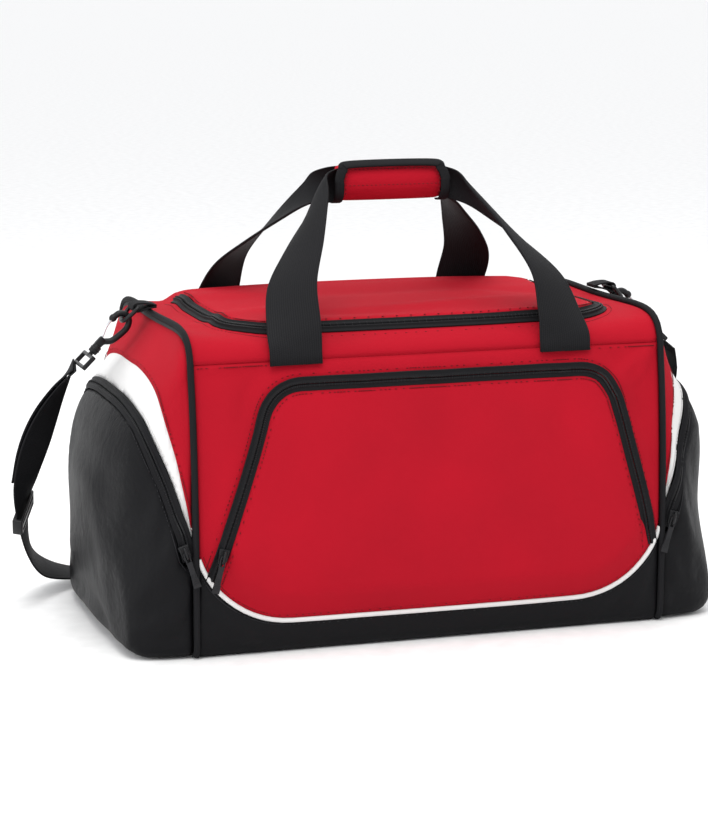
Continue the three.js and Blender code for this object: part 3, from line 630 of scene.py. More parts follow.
class Patch:
    """Part of a shell: places on it and the polygons between them, trimmed by distances."""

    def __init__(self, rows, columns):
        """rows and columns are the place numbers along each way of the starting grid."""
        a, b = np.meshgrid(rows, columns, indexing="ij")
        self.places = list(zip(a.ravel().tolist(), b.ravel().tolist()))
        n = len(columns)
        self.faces = [[i * n + j, (i + 1) * n + j, (i + 1) * n + j + 1, i * n + j + 1]
                      for i in range(len(rows) - 1) for j in range(n - 1)]

    def trim(self, distance):
        """Keeps what has a positive distance, with new points where it is zero."""
        values = np.asarray(distance(np.array(self.places)), float)
        snapped = set()
        for face in self.faces:
            for a, b in zip(face, face[1:] + face[:1]):
                va, vb = values[a], values[b]
                if va * vb >= 0:
                    continue
                t = va / (va - vb)
                near, share = (a, t) if t < 0.5 else (b, 1 - t)
                if share < 0.22 and near not in snapped:
                    pa, pb = self.places[a], self.places[b]
                    self.places[near] = (pa[0] + (pb[0] - pa[0]) * t, pa[1] + (pb[1] - pa[1]) * t)
                    values[near] = 0.0
                    snapped.add(near)
        values = list(values)
        made, kept = {}, []
        for face in self.faces:
            if all(values[k] <= 0 for k in face):
                continue
            out = []
            for a, b in zip(face, face[1:] + face[:1]):
                if values[a] >= 0:
                    out.append(a)
                if values[a] * values[b] < 0:
                    key = (min(a, b), max(a, b))
                    if key not in made:
                        t = values[a] / (values[a] - values[b])
                        pa, pb = self.places[a], self.places[b]
                        self.places.append((pa[0] + (pb[0] - pa[0]) * t, pa[1] + (pb[1] - pa[1]) * t))
                        values.append(0.0)
                        made[key] = len(self.places) - 1
                    out.append(made[key])
            if len(out) > 2:
                kept.append(out)
        self.faces = kept
        used = sorted({k for face in kept for k in face})
        order = {k: n for n, k in enumerate(used)}
        self.places = [self.places[k] for k in used]
        self.faces = [[order[k] for k in face] for face in kept]
        return self

    def close_over(self, row):
        """Adds the polygon that closes the ring of one whole row of places, if it's all there."""
        ring = sorted((place[1], k) for k, place in enumerate(self.places) if place[0] == row)
        if len(ring) > COLUMNS:
            self.faces.append([k for _, k in ring][::-1])


# ---------------------------------------------------------------- making meshes
def SIZES():
    return bpy.context.scene.holdall_sizes


def new_piece(name, points, faces, uvs=None, finishes=(), face_finish=None):
    """A smooth-shaded mesh object at the origin from points, faces and a cloth coordinate per point."""
    mesh = bpy.data.meshes.new(name)
    mesh.from_pydata(np.asarray(points).tolist(), [], [list(map(int, f)) for f in faces])
    if uvs is not None:
        corners = np.zeros(len(mesh.loops), int)
        mesh.loops.foreach_get("vertex_index", corners)
        layer = mesh.uv_layers.new(name="cloth")
        layer.data.foreach_set("uv", np.asarray(uvs, float)[corners].ravel())
    for finish in finishes:
        mesh.materials.append(FINISHES[finish])
    if face_finish is not None:
        mesh.polygons.foreach_set("material_index", np.asarray(face_finish, int))
    mesh.polygons.foreach_set("use_smooth", [True] * len(mesh.polygons))
    mesh.validate()
    piece = bpy.data.objects.new(name, mesh)
    bpy.context.scene.collection.objects.link(piece)
    return piece


def hand_over(piece, body, slot, *nodes):
    """Puts a finished piece on its body and hides the frame's nodes it stands for; the slot is not used.
    """
    if body:
        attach(piece, body)
    if nodes:
        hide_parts(*nodes)
    return piece


def merge_doubles(piece, distance):
    work = bmesh.new()
    work.from_mesh(piece.data)
    bmesh.ops.remove_doubles(work, verts=work.verts, dist=distance)
    bmesh.ops.dissolve_degenerate(work, edges=work.edges, dist=distance / 10)
    work.to_mesh(piece.data)
    work.free()


def cloth_panel(name, shell, patch, lift, thickness, finishes):
    """A panel of cloth with an outer face, a lining face and turned edges."""
    places = np.array(patch.places)
    outer = shell.place(places, lift(places))
    inner = shell.place(places, lift(places) - thickness)
    n = len(places)
    faces = [f[::-1] if shell.flip else f for f in patch.faces]
    edges = {}
    for f in faces:
        for a, b in zip(f, f[1:] + f[:1]):
            edges[(a, b)] = (b, a) not in edges
            if (b, a) in edges:
                edges[(b, a)] = edges[(a, b)] = False
    rim = [[b, a, a + n, b + n] for (a, b), alone in edges.items() if alone]
    back = [[k + n for k in f[::-1]] for f in faces]
    metres = shell.metres(places)
    finish = [0] * len(faces) + [0] * len(rim) + [len(finishes) - 1] * len(back)
    return new_piece(name, np.vstack([outer, inner]), faces + rim + back,
                     np.vstack([metres, metres]), finishes, finish)


def frames_along(points, normals, closed=False):
    """Unit directions along, across and off a line of points."""
    points = np.array(points, float)
    if closed:
        along = np.roll(points, -1, axis=0) - np.roll(points, 1, axis=0)
    else:
        along = np.gradient(points, axis=0)
    along /= np.maximum(np.linalg.norm(along, axis=1), 1e-12)[:, None]
    off = normals - along * np.sum(normals * along, axis=1)[:, None]
    off /= np.maximum(np.linalg.norm(off, axis=1), 1e-12)[:, None]
    return along, np.cross(along, off), off


def sweep(name, points, normals, section, finishes, closed=False, scale=None):
    """A section of (across, off) points carried along a line. The section runs anticlockwise."""
    points = np.array(points, float)
    along, across, off = frames_along(points, np.array(normals, float), closed)
    section = np.array(section, float)
    size = np.ones(len(points)) if scale is None else np.array(scale, float)
    rings = (points[:, None, :]
             + across[:, None, :] * section[None, :, :1] * size[:, None, None]
             + off[:, None, :] * section[None, :, 1:] * size[:, None, None])
    m, n = rings.shape[:2]
    faces = []
    for i in range(m if closed else m - 1):
        k = (i + 1) % m
        for j in range(n):
            l = (j + 1) % n
            faces.append([i * n + j, k * n + j, k * n + l, i * n + l][::-1])
    if not closed:
        faces.append(list(range(n))[::-1])
        faces.append([(m - 1) * n + j for j in range(n)])
    girth = np.concatenate([[0], np.cumsum(np.linalg.norm(np.diff(section, axis=0), axis=1))])
    run = np.concatenate([[0], np.cumsum(np.linalg.norm(np.diff(points, axis=0), axis=1))])
    uvs = np.stack([np.broadcast_to(girth[None], (m, n)), np.broadcast_to(run[:, None], (m, n))], 2)
    piece = new_piece(name, rings.reshape(-1, 3), faces, uvs.reshape(-1, 2), finishes)
    turn_outwards(piece)
    return piece


def turn_outwards(piece):
    """Recalculates normals so that they point out of a closed mesh."""
    work = bmesh.new()
    work.from_mesh(piece.data)
    bmesh.ops.recalc_face_normals(work, faces=work.faces)
    if work.calc_volume(signed=True) < 0:
        bmesh.ops.reverse_faces(work, faces=work.faces)
    work.to_mesh(piece.data)
    work.free()


def circle_section(radius, count=10):
    t = np.linspace(0, 2 * math.pi, count, endpoint=False)
    return np.stack([radius * np.cos(t), radius * np.sin(t)], axis=1)


def strap_section(width, thickness, ribs=10):
    """Webbing's section: thin, with a rolled selvedge at each edge and low ribs between."""
    half, t = width / 2, thickness / 2
    top = [(half, 0), (half - 0.2 * t, 0.8 * t), (half - 0.0012, 1.15 * t), (half - 0.0028, 0.85 * t)]
    inner = np.linspace(half - 0.0045, -(half - 0.0045), 2 * ribs + 1)
    top += [(x, t * (1.0 if k % 2 else 0.9)) for k, x in enumerate(inner)]
    top += [(-x, z) for x, z in top[3::-1]]
    bottom = [(x, -z) for x, z in top[1:-1]][::-1]
    return np.array(top + bottom)


def copies(name, template, origins, along, across, off, finish):
    """One mesh of copies of a small template, each set in its own directions."""
    points, faces = template
    placed = (origins[:, None, :] + along[:, None, :] * points[None, :, :1]
              + across[:, None, :] * points[None, :, 1:2] + off[:, None, :] * points[None, :, 2:])
    count = len(points)
    every = [[k + n * count for k in f] for n in range(len(origins)) for f in faces]
    return new_piece(name, placed.reshape(-1, 3), every, None, [finish])


def grab(piece):
    """A piece's points and faces, and the piece is removed."""
    points = np.array([v.co for v in piece.data.vertices])
    faces = [list(p.vertices) for p in piece.data.polygons]
    bpy.data.objects.remove(piece)
    return points, faces


def deselect():
    bpy.ops.object.select_all(action="DESELECT")


def primitive(kind, name, scale=(1, 1, 1), at=(0, 0, 0), turn=(0, 0, 0), **settings):
    """Adds a mesh primitive, sized, turned and placed in its mesh."""
    deselect()
    getattr(bpy.ops.mesh, f"primitive_{kind}_add")(location=(0, 0, 0), **settings)
    piece = bpy.context.object
    piece.name = name
    piece.scale = scale
    piece.rotation_euler = turn
    piece.location = at
    bpy.ops.object.transform_apply(location=True, rotation=True, scale=True)
    return piece


def apply_modifier(piece, kind, **settings):
    modifier = piece.modifiers.new(kind.lower(), kind)
    for key, value in settings.items():
        setattr(modifier, key, value)
    deselect()
    piece.select_set(True)
    bpy.context.view_layer.objects.active = piece
    bpy.ops.object.modifier_apply(modifier=modifier.name)
    return piece


def joined(name, pieces, finish=None):
    """Several pieces as one."""
    deselect()
    for piece in pieces:
        piece.select_set(True)
    bpy.context.view_layer.objects.active = pieces[0]
    bpy.ops.object.join()
    piece = bpy.context.object
    piece.name = piece.data.name = name
    if finish:
        piece.data.materials.clear()
        piece.data.materials.append(FINISHES[finish])
        for polygon in piece.data.polygons:
            polygon.material_index = 0
    return piece


def block(name, size, at, round_by, segments=3):
    """A box with rounded edges, given its size and centre."""
    piece = primitive("cube", name, size, at, size=1)
    return apply_modifier(piece, "BEVEL", width=round_by, segments=segments)


def smooth(piece, angle=35):
    deselect()
    piece.select_set(True)
    bpy.context.view_layer.objects.active = piece
    bpy.ops.object.shade_smooth_by_angle(angle=math.radians(angle))
    return piece


def bar(name, points, radius, finish, resolution=5):
    """A round bar along a smooth line, with rounded ends."""
    line = even(catmull(points, 12 * len(points)), 8 * len(points))
    scale = np.ones(len(line) + 2)
    steps = line[1] - line[0], line[-1] - line[-2]
    ends = [line[0] - steps[0] / np.linalg.norm(steps[0]) * radius * 0.6,
            line[-1] + steps[1] / np.linalg.norm(steps[1]) * radius * 0.6]
    scale[0] = scale[-1] = 0.45
    line = np.vstack([ends[:1], line, ends[1:]])
    normals = np.tile(side_normal(line), (len(line), 1))
    return sweep(name, line, normals, circle_section(radius, 4 * resolution // 2 + 2), [finish],
                 scale=scale)


def side_normal(line):
    """A direction that a flat bent line never runs along."""
    spread = line - line.mean(axis=0)
    return np.linalg.svd(spread, full_matrices=False)[2][-1]


def set_in(piece, origin, x_axis, y_axis, z_axis):
    """Moves a piece drawn at the origin to a place and three directions, within its mesh."""
    turn = Matrix([x_axis, y_axis, z_axis]).transposed().to_4x4()
    piece.data.transform(Matrix.Translation(Vector(origin)) @ turn)
    return piece


TEMPLATES = {}


def stitch_template():
    """A stitch: a slender rounded thread, a little sunk at its ends."""
    if "stitch" not in TEMPLATES:
        size = SIZES()
        piece = primitive("uv_sphere", "stitch", (size.stitch / 2, size.thread, size.thread),
                          segments=6, ring_count=5)
        TEMPLATES["stitch"] = grab(piece)
    return TEMPLATES["stitch"]


def stitches(name, points, normals, finish, body, slot):
    """A row of stitches along a line on the cloth."""
    size = SIZES()
    count = max(2, int(run_length(points) / (size.stitch + size.stitch_gap)))
    both = even(np.hstack([points, normals]), count)
    along, across, off = frames_along(both[:, :3], both[:, 3:])
    piece = copies(name, stitch_template(), both[:, :3], along, across, off, finish)
    return hand_over(piece, body, slot)


# ---------------------------------------------------------------- the bag's shells
SHELLS = {}
COLUMNS = 288  # grid columns round the bag, a whole number for each quarter
ROWS = 115
DOME_ROWS = 41
POLE_ROW = 34  # near an end pocket's middle, where its rows crowd together
SEAM_ROWS = 36  # rows of an end pocket that its seams stay within
BASE_COLUMNS, TOP_COLUMNS = 12, 24  # columns past the quarter that the base and top are cut from
TOP_SPAN = range(COLUMNS // 4 - TOP_COLUMNS, COLUMNS - COLUMNS // 4 + TOP_COLUMNS + 1)
CLOTH_STEPS = 20
SETTLE_PASSES = 6  # how often the simulated cloth's fine ripples are evened out


def ring_lookup():
    """Column numbers of the main shell with the y and z drawn there."""
    ring = SHELLS["body"].rest[0]
    return np.arange(COLUMNS), ring[:, 1], ring[:, 2]


def row_of(x):
    return (np.asarray(x) + HALF_LENGTH) / (2 * HALF_LENGTH) * (ROWS - 1)


def places_on_wall(line, side):
    """Places of an (x, z) line on the front (side -1) or back (side 1) wall."""
    columns, _, z = ring_lookup()
    half = COLUMNS // 2
    rising = np.maximum.accumulate(z[:half])
    column = np.interp(line[:, 1], rising, columns[:half])
    column = column if side < 0 else COLUMNS - column
    return np.stack([row_of(line[:, 0]), column], axis=1)


def places_on_top(line):
    """Places of an (x, y) line on the top."""
    columns, y, z = ring_lookup()
    first = int(np.argmax(z > 0.2))
    last = COLUMNS - first
    column = np.interp(line[:, 1], np.maximum.accumulate(y[first:last]), columns[first:last])
    return np.stack([row_of(line[:, 0]), column], axis=1)


def main_shell():
    ring = even(section_outline(), COLUMNS, closed=True)
    x = np.linspace(-HALF_LENGTH, HALF_LENGTH, ROWS)
    rest = np.zeros((ROWS, COLUMNS, 3))
    rest[..., 0] = x[:, None]
    rest[..., 1:] = ring[None]
    return Shell(rest)


def end_shell(side):
    rows = catmull(DOME, DOME_ROWS)
    ring = even(section_outline(), COLUMNS, closed=True)
    ring = ring - 0.0015 * np.sign(ring - [0, DOME_CENTRE_Z]) * [1, 1]
    rest = np.zeros((len(rows), COLUMNS, 3))
    for k, (out, depth, up, down) in enumerate(rows):
        share = np.where(ring[:, 1] > DOME_CENTRE_Z, up, down)
        low = 1 - smoothstep(0.0, 0.11, ring[:, 1])
        y = ring[:, 0] * (depth + (1 - depth) * 0.62 * low * (1 - smoothstep(0.060, 0.073, out)))
        z = (ring[:, 1] - DOME_CENTRE_Z) * share
        across = np.abs(y) / np.abs(y).max()
        height = np.abs(z) / np.where(z > 0, z.max(), -z.min())
        corner = (across**2.8 + height**2.8)**(1 / 2.8)
        pull = 1 + smoothstep(0, 0.034, out) * np.where(z > 0, 0.72, 0.0) * (
            1 / np.maximum(corner, 1) - 1)
        rest[k, :, 0] = side * (DOME_X + out * DOME_SHARE)
        rest[k, :, 1] = y * pull
        rest[k, :, 2] = DOME_CENTRE_Z + z * pull
    return Shell(rest, flip=side < 0)


def relaxed(shell, held, slack, cap, gravity=0.25, pressure=1.5):
    """How far cloth with some slack moves along each point's normal, held at its seams."""
    rows, columns = shell.soft.shape[:2]
    points = shell.soft.reshape(-1, 3)
    faces = [[i * columns + j, (i + 1) * columns + j, (i + 1) * columns + (j + 1) % columns,
              i * columns + (j + 1) % columns] for i in range(rows - 1) for j in range(columns)]
    if shell.flip:
        faces = [f[::-1] for f in faces]
    cloth_object = new_piece("relaxing_cloth", points, faces)
    group = cloth_object.vertex_groups.new(name="held")
    for k, weight in enumerate(held.ravel()):
        if weight > 0:
            group.add([k], float(weight), "REPLACE")
    cloth = cloth_object.modifiers.new("cloth", "CLOTH")
    cloth.settings.quality = 5
    cloth.settings.mass = 0.25
    cloth.settings.tension_stiffness = cloth.settings.compression_stiffness = 25
    cloth.settings.bending_stiffness = 1.2
    cloth.settings.shrink_min = -slack
    cloth.settings.use_pressure = True
    cloth.settings.uniform_pressure_force = pressure
    cloth.settings.vertex_group_mass = "held"
    cloth.settings.effector_weights.gravity = gravity
    scene = bpy.context.scene
    for step in range(1, CLOTH_STEPS + 1):
        scene.frame_set(step)
    lain = cloth_object.evaluated_get(bpy.context.evaluated_depsgraph_get())
    moved = np.array([v.co for v in lain.data.vertices]).reshape(shell.soft.shape) - shell.soft
    scene.frame_set(1)
    bpy.data.objects.remove(cloth_object)
    out = np.clip(np.sum(moved * shell.normal, axis=2), -cap, cap)
    for _ in range(SETTLE_PASSES):
        padded = np.vstack([out[:1], out, out[-1:]])
        along = (padded[:-2] + padded[2:]) / 2
        out = out * 0.5 + along * 0.25 + (np.roll(out, 1, axis=1) + np.roll(out, -1, axis=1)) * 0.125
    return out * (held < 1)


def coarse(shell, row_step, column_step):
    """A shell with fewer rows and columns."""
    return Shell(shell.soft[::row_step, ::column_step], shell.flip)


def spread(values, rows, columns, shape):
    """A coarse grid's values read at every point of a finer one."""
    carrier = Shell(np.repeat(values[..., None], 3, axis=2))
    i, j = np.meshgrid(np.arange(shape[0]) / rows, np.arange(shape[1]) / columns, indexing="ij")
    places = np.stack([i.ravel(), j.ravel()], axis=1)
    return carrier.read(carrier.rest, places)[:, 0].reshape(shape)


def evened_pole(lift):
    """An end pocket's lifts with one height round its pole, so that it has no dimple."""
    share = smoothstep(POLE_ROW - 7, POLE_ROW + 2, np.arange(lift.shape[0]))[:, None]
    return lift * (1 - share) + lift[POLE_ROW].mean() * share


class HOLDALL_OT_cloth_shape(bpy.types.Operator):
    """Shape the cloth: the crown of the top, the folds, and a cloth simulation held at the seams"""

    bl_idname = "holdall.cloth_shape"
    bl_label = "Cloth Shape"

    def execute(self, context):
        body = SHELLS["body"] = main_shell()
        flat = body.rest.reshape(-1, 3)
        x, y, z = flat.T
        front = (1 - smoothstep(0.262, 0.285, z)) * (y < 0) * smoothstep(0.006, 0.02, z)
        rear = (1 - smoothstep(0.262, 0.285, z)) * (y > 0) * smoothstep(0.006, 0.02, z)
        top = smoothstep(0.270, 0.292, z)
        lift = front * folds("front", x, z) + rear * folds("front", -x, z) + top * folds("top", x, y)
        body.soft = body.rest + body.normal * lift.reshape(ROWS, COLUMNS)[..., None]
        body.soft[..., 2] += crown(flat).reshape(ROWS, COLUMNS)
        ends = np.minimum(np.arange(ROWS), ROWS - 1 - np.arange(ROWS))[:, None]
        body.soft = body.rest + (body.soft - body.rest) * smoothstep(0, 4, ends)[..., None]
        body.find_normals()
        self.relax_body(body)
        for side in (-1, 1):
            shell = SHELLS["left" if side < 0 else "right"] = end_shell(side)
            flat = shell.rest.reshape(-1, 3)
            out = np.abs(flat[:, 0]) - DOME_X
            cap = smoothstep(0.042, 0.072, out)
            edge = smoothstep(0.004, 0.016, out) * smoothstep(0.010, 0.030, flat[:, 2])
            under = smoothstep(0.006, 0.020, flat[:, 2])
            lift = (edge * (1 - cap) * folds("end", out, flat[:, 2])
                    + 0.7 * cap * under * folds("cap", -side * flat[:, 1], flat[:, 2]))
            lift = evened_pole(lift.reshape(DOME_ROWS, COLUMNS))
            shell.soft = shell.rest + shell.normal * lift[..., None]
            shell.find_normals()
            self.relax_end(shell)
        return {"FINISHED"}

    def relax_body(self, body):
        small = coarse(body, 2, 2)
        x, z = small.rest[..., 0], small.rest[..., 2]
        held = np.where(np.abs(x) > HALF_LENGTH - 0.003, 1.0, 0.0)
        held = np.maximum(held, np.where(z < 0.012, 1.0, 0.0))
        held = np.maximum(held, np.where(np.abs(z - SEAM_Z) < 0.003, 0.6, 0.0))
        moved = relaxed(small, held, 0.009, 0.004)
        lift = spread(moved, 2, 2, body.rest.shape[:2])
        body.soft = body.soft + body.normal * lift[..., None]
        body.find_normals()

    def relax_end(self, shell):
        small = coarse(shell, 1, 3)
        rows = np.arange(small.rest.shape[0])[:, None] + 0 * small.rest[..., 0]
        held = np.where((rows < 1) | (small.rest[..., 2] < 0.010), 1.0, 0.0)
        moved = relaxed(small, held, 0.014, 0.004)
        lift = evened_pole(spread(moved, 1, 3, shell.rest.shape[:2]))
        shell.soft = shell.soft + shell.normal * lift[..., None]
        shell.find_normals()


# ---------------------------------------------------------------- regions of the pattern
def wall_distance(outline):
    """Distance inside an (x, z) outline, for places on the main shell."""
    def distance(places):
        return signed_distance(SHELLS["body"].drawn(places)[:, [0, 2]], outline)
    return distance


def top_distance(outline):
    def distance(places):
        return signed_distance(SHELLS["body"].drawn(places)[:, [0, 1]], outline)
    return distance


def end_distance(hand, outline):
    def distance(places):
        drawn = SHELLS[hand].drawn(places)
        flat = np.stack([np.abs(drawn[:, 0]) - DOME_X, drawn[:, 2]], axis=1)
        return signed_distance(flat, outline)
    return distance


def above_trim(shift=0.0):
    line = grown(trim_line(), shift)
    far = 0.5
    return np.vstack([[(-far, TRIM_END)], line, [(far, TRIM_END), (far, far), (-far, far)]])


def closed_arch(shift=0.0):
    return grown(arch_line(), shift)


def closed_lid(shift=0.0, back=0.0):
    line = lid_line(shift)
    line[[0, -1], 1] += back
    return line


def below_seam(rows):
    """The closed region outwards of and below an end pocket's seam."""
    line = catmull(rows, 60)
    return np.vstack([line, [(line[-1, 0], 0.5), (0.5, 0.5), (0.5, -0.2), (-0.05, -0.2),
                             (-0.05, line[0, 1])]])


def combined(*distances):
    def distance(places):
        return np.min([d(places) for d in distances], axis=0)
    return distance


def outside(distance):
    return lambda places: -distance(places)


def height_above(z):
    return lambda places: SHELLS["body"].drawn(places)[:, 2] - z


def tucked(distance, lift=0.0):
    """Lift of a panel: it dips into the seam along the edge that the distance is measured from."""
    def height(places):
        size = SIZES()
        return lift - size.tuck * (1 - smoothstep(0, size.tuck_width, distance(places)))
    return height


class HOLDALL_OT_main_panels(bpy.types.Operator):
    """Make the base, the front and back walls and the top round the lid"""

    bl_idname = "holdall.main_panels"
    bl_label = "Main Panels"

    def execute(self, context):
        body = SHELLS["body"]
        rows = range(ROWS)
        quarter = COLUMNS // 4
        half = COLUMNS // 2
        cloth = SIZES().cloth
        ends = lambda places: np.minimum(places[:, 0], ROWS - 1 - places[:, 0]) * 0.004 + 0.0008
        trim = wall_distance(above_trim())
        base = Patch(rows, range(-quarter - BASE_COLUMNS, quarter + BASE_COLUMNS + 1)).trim(outside(trim))
        piece = cloth_panel("base_panel_cloth", body, base,
                            tucked(combined(outside(trim), ends)), cloth, ["black", "lining"])
        hand_over(piece, "bag", "black_cloth", "base_panel")
        seam = outside(height_above(SEAM_Z))
        for name, columns, node in (("front", range(0, half), "front_panel"),
                                    ("back", range(half, COLUMNS + 1), "back_panel")):
            patch = Patch(rows, columns).trim(trim).trim(seam)
            dip = tucked(combined(trim, seam, ends))
            lift = (lambda places, dip=dip: dip(places) + wall_lift(places)) if name == "front" else dip
            piece = cloth_panel(f"{name}_wall_cloth", body, patch, lift, cloth, ["red", "lining"])
            line = np.stack([np.linspace(-0.222, 0.222, 200), np.full(200, SEAM_Z - 0.0034)], axis=1)
            places = places_on_wall(line, -1 if name == "front" else 1)
            stitches(f"{name}_seam_stitches", body.place(places, 0.0001), body.facing(places),
                     "red_thread", "bag", "red_cloth")
            hand_over(piece, "bag", "red_cloth", node)
        zip_edge = outside(top_distance(closed_lid(0.0095, 0.0006)))
        above = height_above(SEAM_Z)
        top = Patch(rows, TOP_SPAN).trim(above).trim(zip_edge)
        piece = cloth_panel("top_panel_cloth", body, top,
                            tucked(combined(above, zip_edge, ends), 0.0006), cloth, ["red", "lining"])
        hand_over(piece, "bag", "red_cloth", "top_panel")
        return {"FINISHED"}


class HOLDALL_OT_lid(bpy.types.Operator):
    """Make the closed cloth lid, whose uncut rear edge is its hinge"""

    bl_idname = "holdall.lid"
    bl_label = "Lid"

    def execute(self, context):
        body = SHELLS["body"]
        zip_edge = top_distance(closed_lid(0.0, 0.02))
        lid = Patch(range(ROWS), TOP_SPAN)
        lid.trim(top_distance(closed_lid(0.0, 0.0003)))
        piece = cloth_panel("lid_cloth", body, lid, tucked(zip_edge, 0.0004), SIZES().cloth,
                            ["red", "lining"])
        fold_back(piece)
        hand_over(piece, None, "red_cloth", "lid_panel")
        return {"FINISHED"}


def fold_back(piece):
    """Bakes the placement of a piece of the lid into its mesh; it is not bent across the hinge line."""
    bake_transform(piece)


class HOLDALL_OT_trims(bpy.types.Operator):
    """Make the white trims and the corded end seams"""

    bl_idname = "holdall.trims"
    bl_label = "Trims and Piping"

    def execute(self, context):
        body = SHELLS["body"]
        size = SIZES()
        line = even(trim_line(), 220)
        line = line[np.abs(line[:, 0]) < HALF_LENGTH - 0.0008]
        half = size.trim_width / 2
        section = [(half, 0), (0.8 * half, 0.0011), (0.3 * half, 0.0017), (-0.3 * half, 0.0017),
                   (-0.8 * half, 0.0011), (-half, 0), (-0.8 * half, -0.0012), (0.8 * half, -0.0012)]
        for side, name in ((-1, "front"), (1, "back")):
            places = places_on_wall(line, side)
            piece = sweep(f"{name}_trim_strip", body.place(places, 0.0003), body.facing(places),
                          section, ["white"])
            hand_over(piece, "bag", "white_trim", f"{name}_trim")
            for across in (-half - 0.0022, half + 0.0024):
                beside = places_on_wall(grown(line, across), side)
                beside = beside[(beside[:, 0] > 1) & (beside[:, 0] < ROWS - 2)]
                word = "below" if across < 0 else "above"
                tone = "black" if across < 0 else "red"
                stitches(f"{name}_trim_stitches_{word}", body.place(beside, -0.0001),
                         body.facing(beside), f"{tone}_thread", "bag", f"{tone}_cloth")
        for side, name in ((-1, "left"), (1, "right")):
            row = 0.0 if side < 0 else ROWS - 1.0
            columns = np.arange(0, COLUMNS, 2)
            places = np.stack([np.full(len(columns), row), columns], axis=1)
            ring = body.drawn(places) + body.facing(places) * 0.0016
            ring[:, 0] = side * (HALF_LENGTH + 0.0012)
            ring[:, 2] = np.maximum(ring[:, 2], size.piping + 0.0004)
            cord = sweep(f"{name}_piping_cord", ring, body.facing(places),
                         circle_section(size.piping, 10), ["binding"], closed=True)
            hand_over(cord, "bag", "black_cloth", f"{name}_end_piping")
        return {"FINISHED"}


# ---------------------------------------------------------------- zips
TAPE_WIDTH = 0.0068  # one half of a zip, from its slit to the cloth


def half_tape(side):
    """Section of one half of a zip: the coil's ridge beside the slit, then the flat tape."""
    width = TAPE_WIDTH
    points = [(0.0002, 0.0002), (0.0003, 0.0011), (0.0010, 0.0018), (0.0019, 0.0019), (0.0026, 0.0014),
              (0.0030, 0.0005), (0.0036, 0.0004), (width - 0.0010, 0.0005), (width - 0.0007, 0.0008),
              (width - 0.0003, 0.0008), (width, 0.0003), (width, -0.0005), (0.0002, -0.0005)]
    points = [(side * a, b) for a, b in points]
    return points[::-1] if side < 0 else points


def tooth_template():
    """One turn of a zip's coil, lying across the ridge."""
    if "tooth" not in TEMPLATES:
        piece = primitive("uv_sphere", "tooth", (0.00042, 0.0011, 0.00052), segments=6, ring_count=4)
        TEMPLATES["tooth"] = grab(piece)
    return TEMPLATES["tooth"]


def zip_fastener(name, points, normals, tilt=0.0, inner_side=1):
    """Two tapes and two rows of teeth along a line. Returns them by what they are."""
    line = even(np.hstack([points, normals]), max(12, int(run_length(points) / 0.004)))
    points, normals = line[:, :3], line[:, 3:]
    along, across, off = frames_along(points, normals)
    normals = off * math.cos(tilt) + across * math.sin(tilt)
    made = {}
    for word, side in (("outer", -inner_side), ("inner", inner_side)):
        made[f"{word}_tape"] = sweep(f"{name}_{word}_tape", points, normals, half_tape(side), ["tape"])
        count = int(run_length(points) / SIZES().tooth)
        each = even(line, count)
        a, c, o = frames_along(each[:, :3], each[:, 3:])
        o = o * math.cos(tilt) + c * math.sin(tilt)
        c = np.cross(o, a) * -1
        places = each[:, :3] + c * side * 0.0013 + o * 0.0017
        made[f"{word}_teeth"] = copies(f"{name}_{word}_teeth", tooth_template(), places, a, c, o, "teeth")
    return made


class HOLDALL_OT_main_zip(bpy.types.Operator):
    """Make the main zip round the lid"""

    bl_idname = "holdall.main_zip"
    bl_label = "Main Zip"

    def execute(self, context):
        body = SHELLS["body"]
        places = places_on_top(even(lid_line(0.0071), 160))
        points, normals = body.place(places, 0.0010), body.facing(places)
        made = zip_fastener("main_zip", points, normals, inner_side=-1)
        for word, piece in made.items():
            slot = "zip_tape" if "tape" in word else "plastic"
            if "inner" in word:
                fold_back(piece)
                body_name = None
            else:
                body_name = "bag"
            nodes = {"inner_tape": ["main_zip_lid_tape"], "outer_tape": ["main_zip_outer_tape"]}
            hand_over(piece, body_name, slot, *nodes.get(word, []))
        for word, shift, owner in (("lid", -0.0022, "lid"), ("top", 0.0168, "bag")):
            edge = places_on_top(even(lid_line(shift), 160))
            row = stitches(f"main_zip_{word}_stitches", body.place(edge, 0.0006), body.facing(edge),
                           "red_thread", None, "red_cloth")
            if owner == "lid":
                fold_back(row)
            else:
                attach(row, "bag")
        return {"FINISHED"}


def pocket_lift(places):
    """How far the front pocket stands off the wall: full in the middle, none at the trim."""
    size = SIZES()
    trim = wall_distance(above_trim())(places)
    edge = wall_distance(closed_arch())(places)
    rise = size.pocket_rise * smoothstep(0, 0.030, trim)
    return rise * (0.86 + 0.14 * smoothstep(-0.001, 0.030, edge))


def wall_lift(places):
    """How far the wall's cloth is drawn out towards the pocket's zip."""
    trim = wall_distance(above_trim())(places)
    edge = wall_distance(closed_arch())(places)
    return 0.0042 * smoothstep(0, 0.030, trim) * smoothstep(-0.026, -0.004, edge)


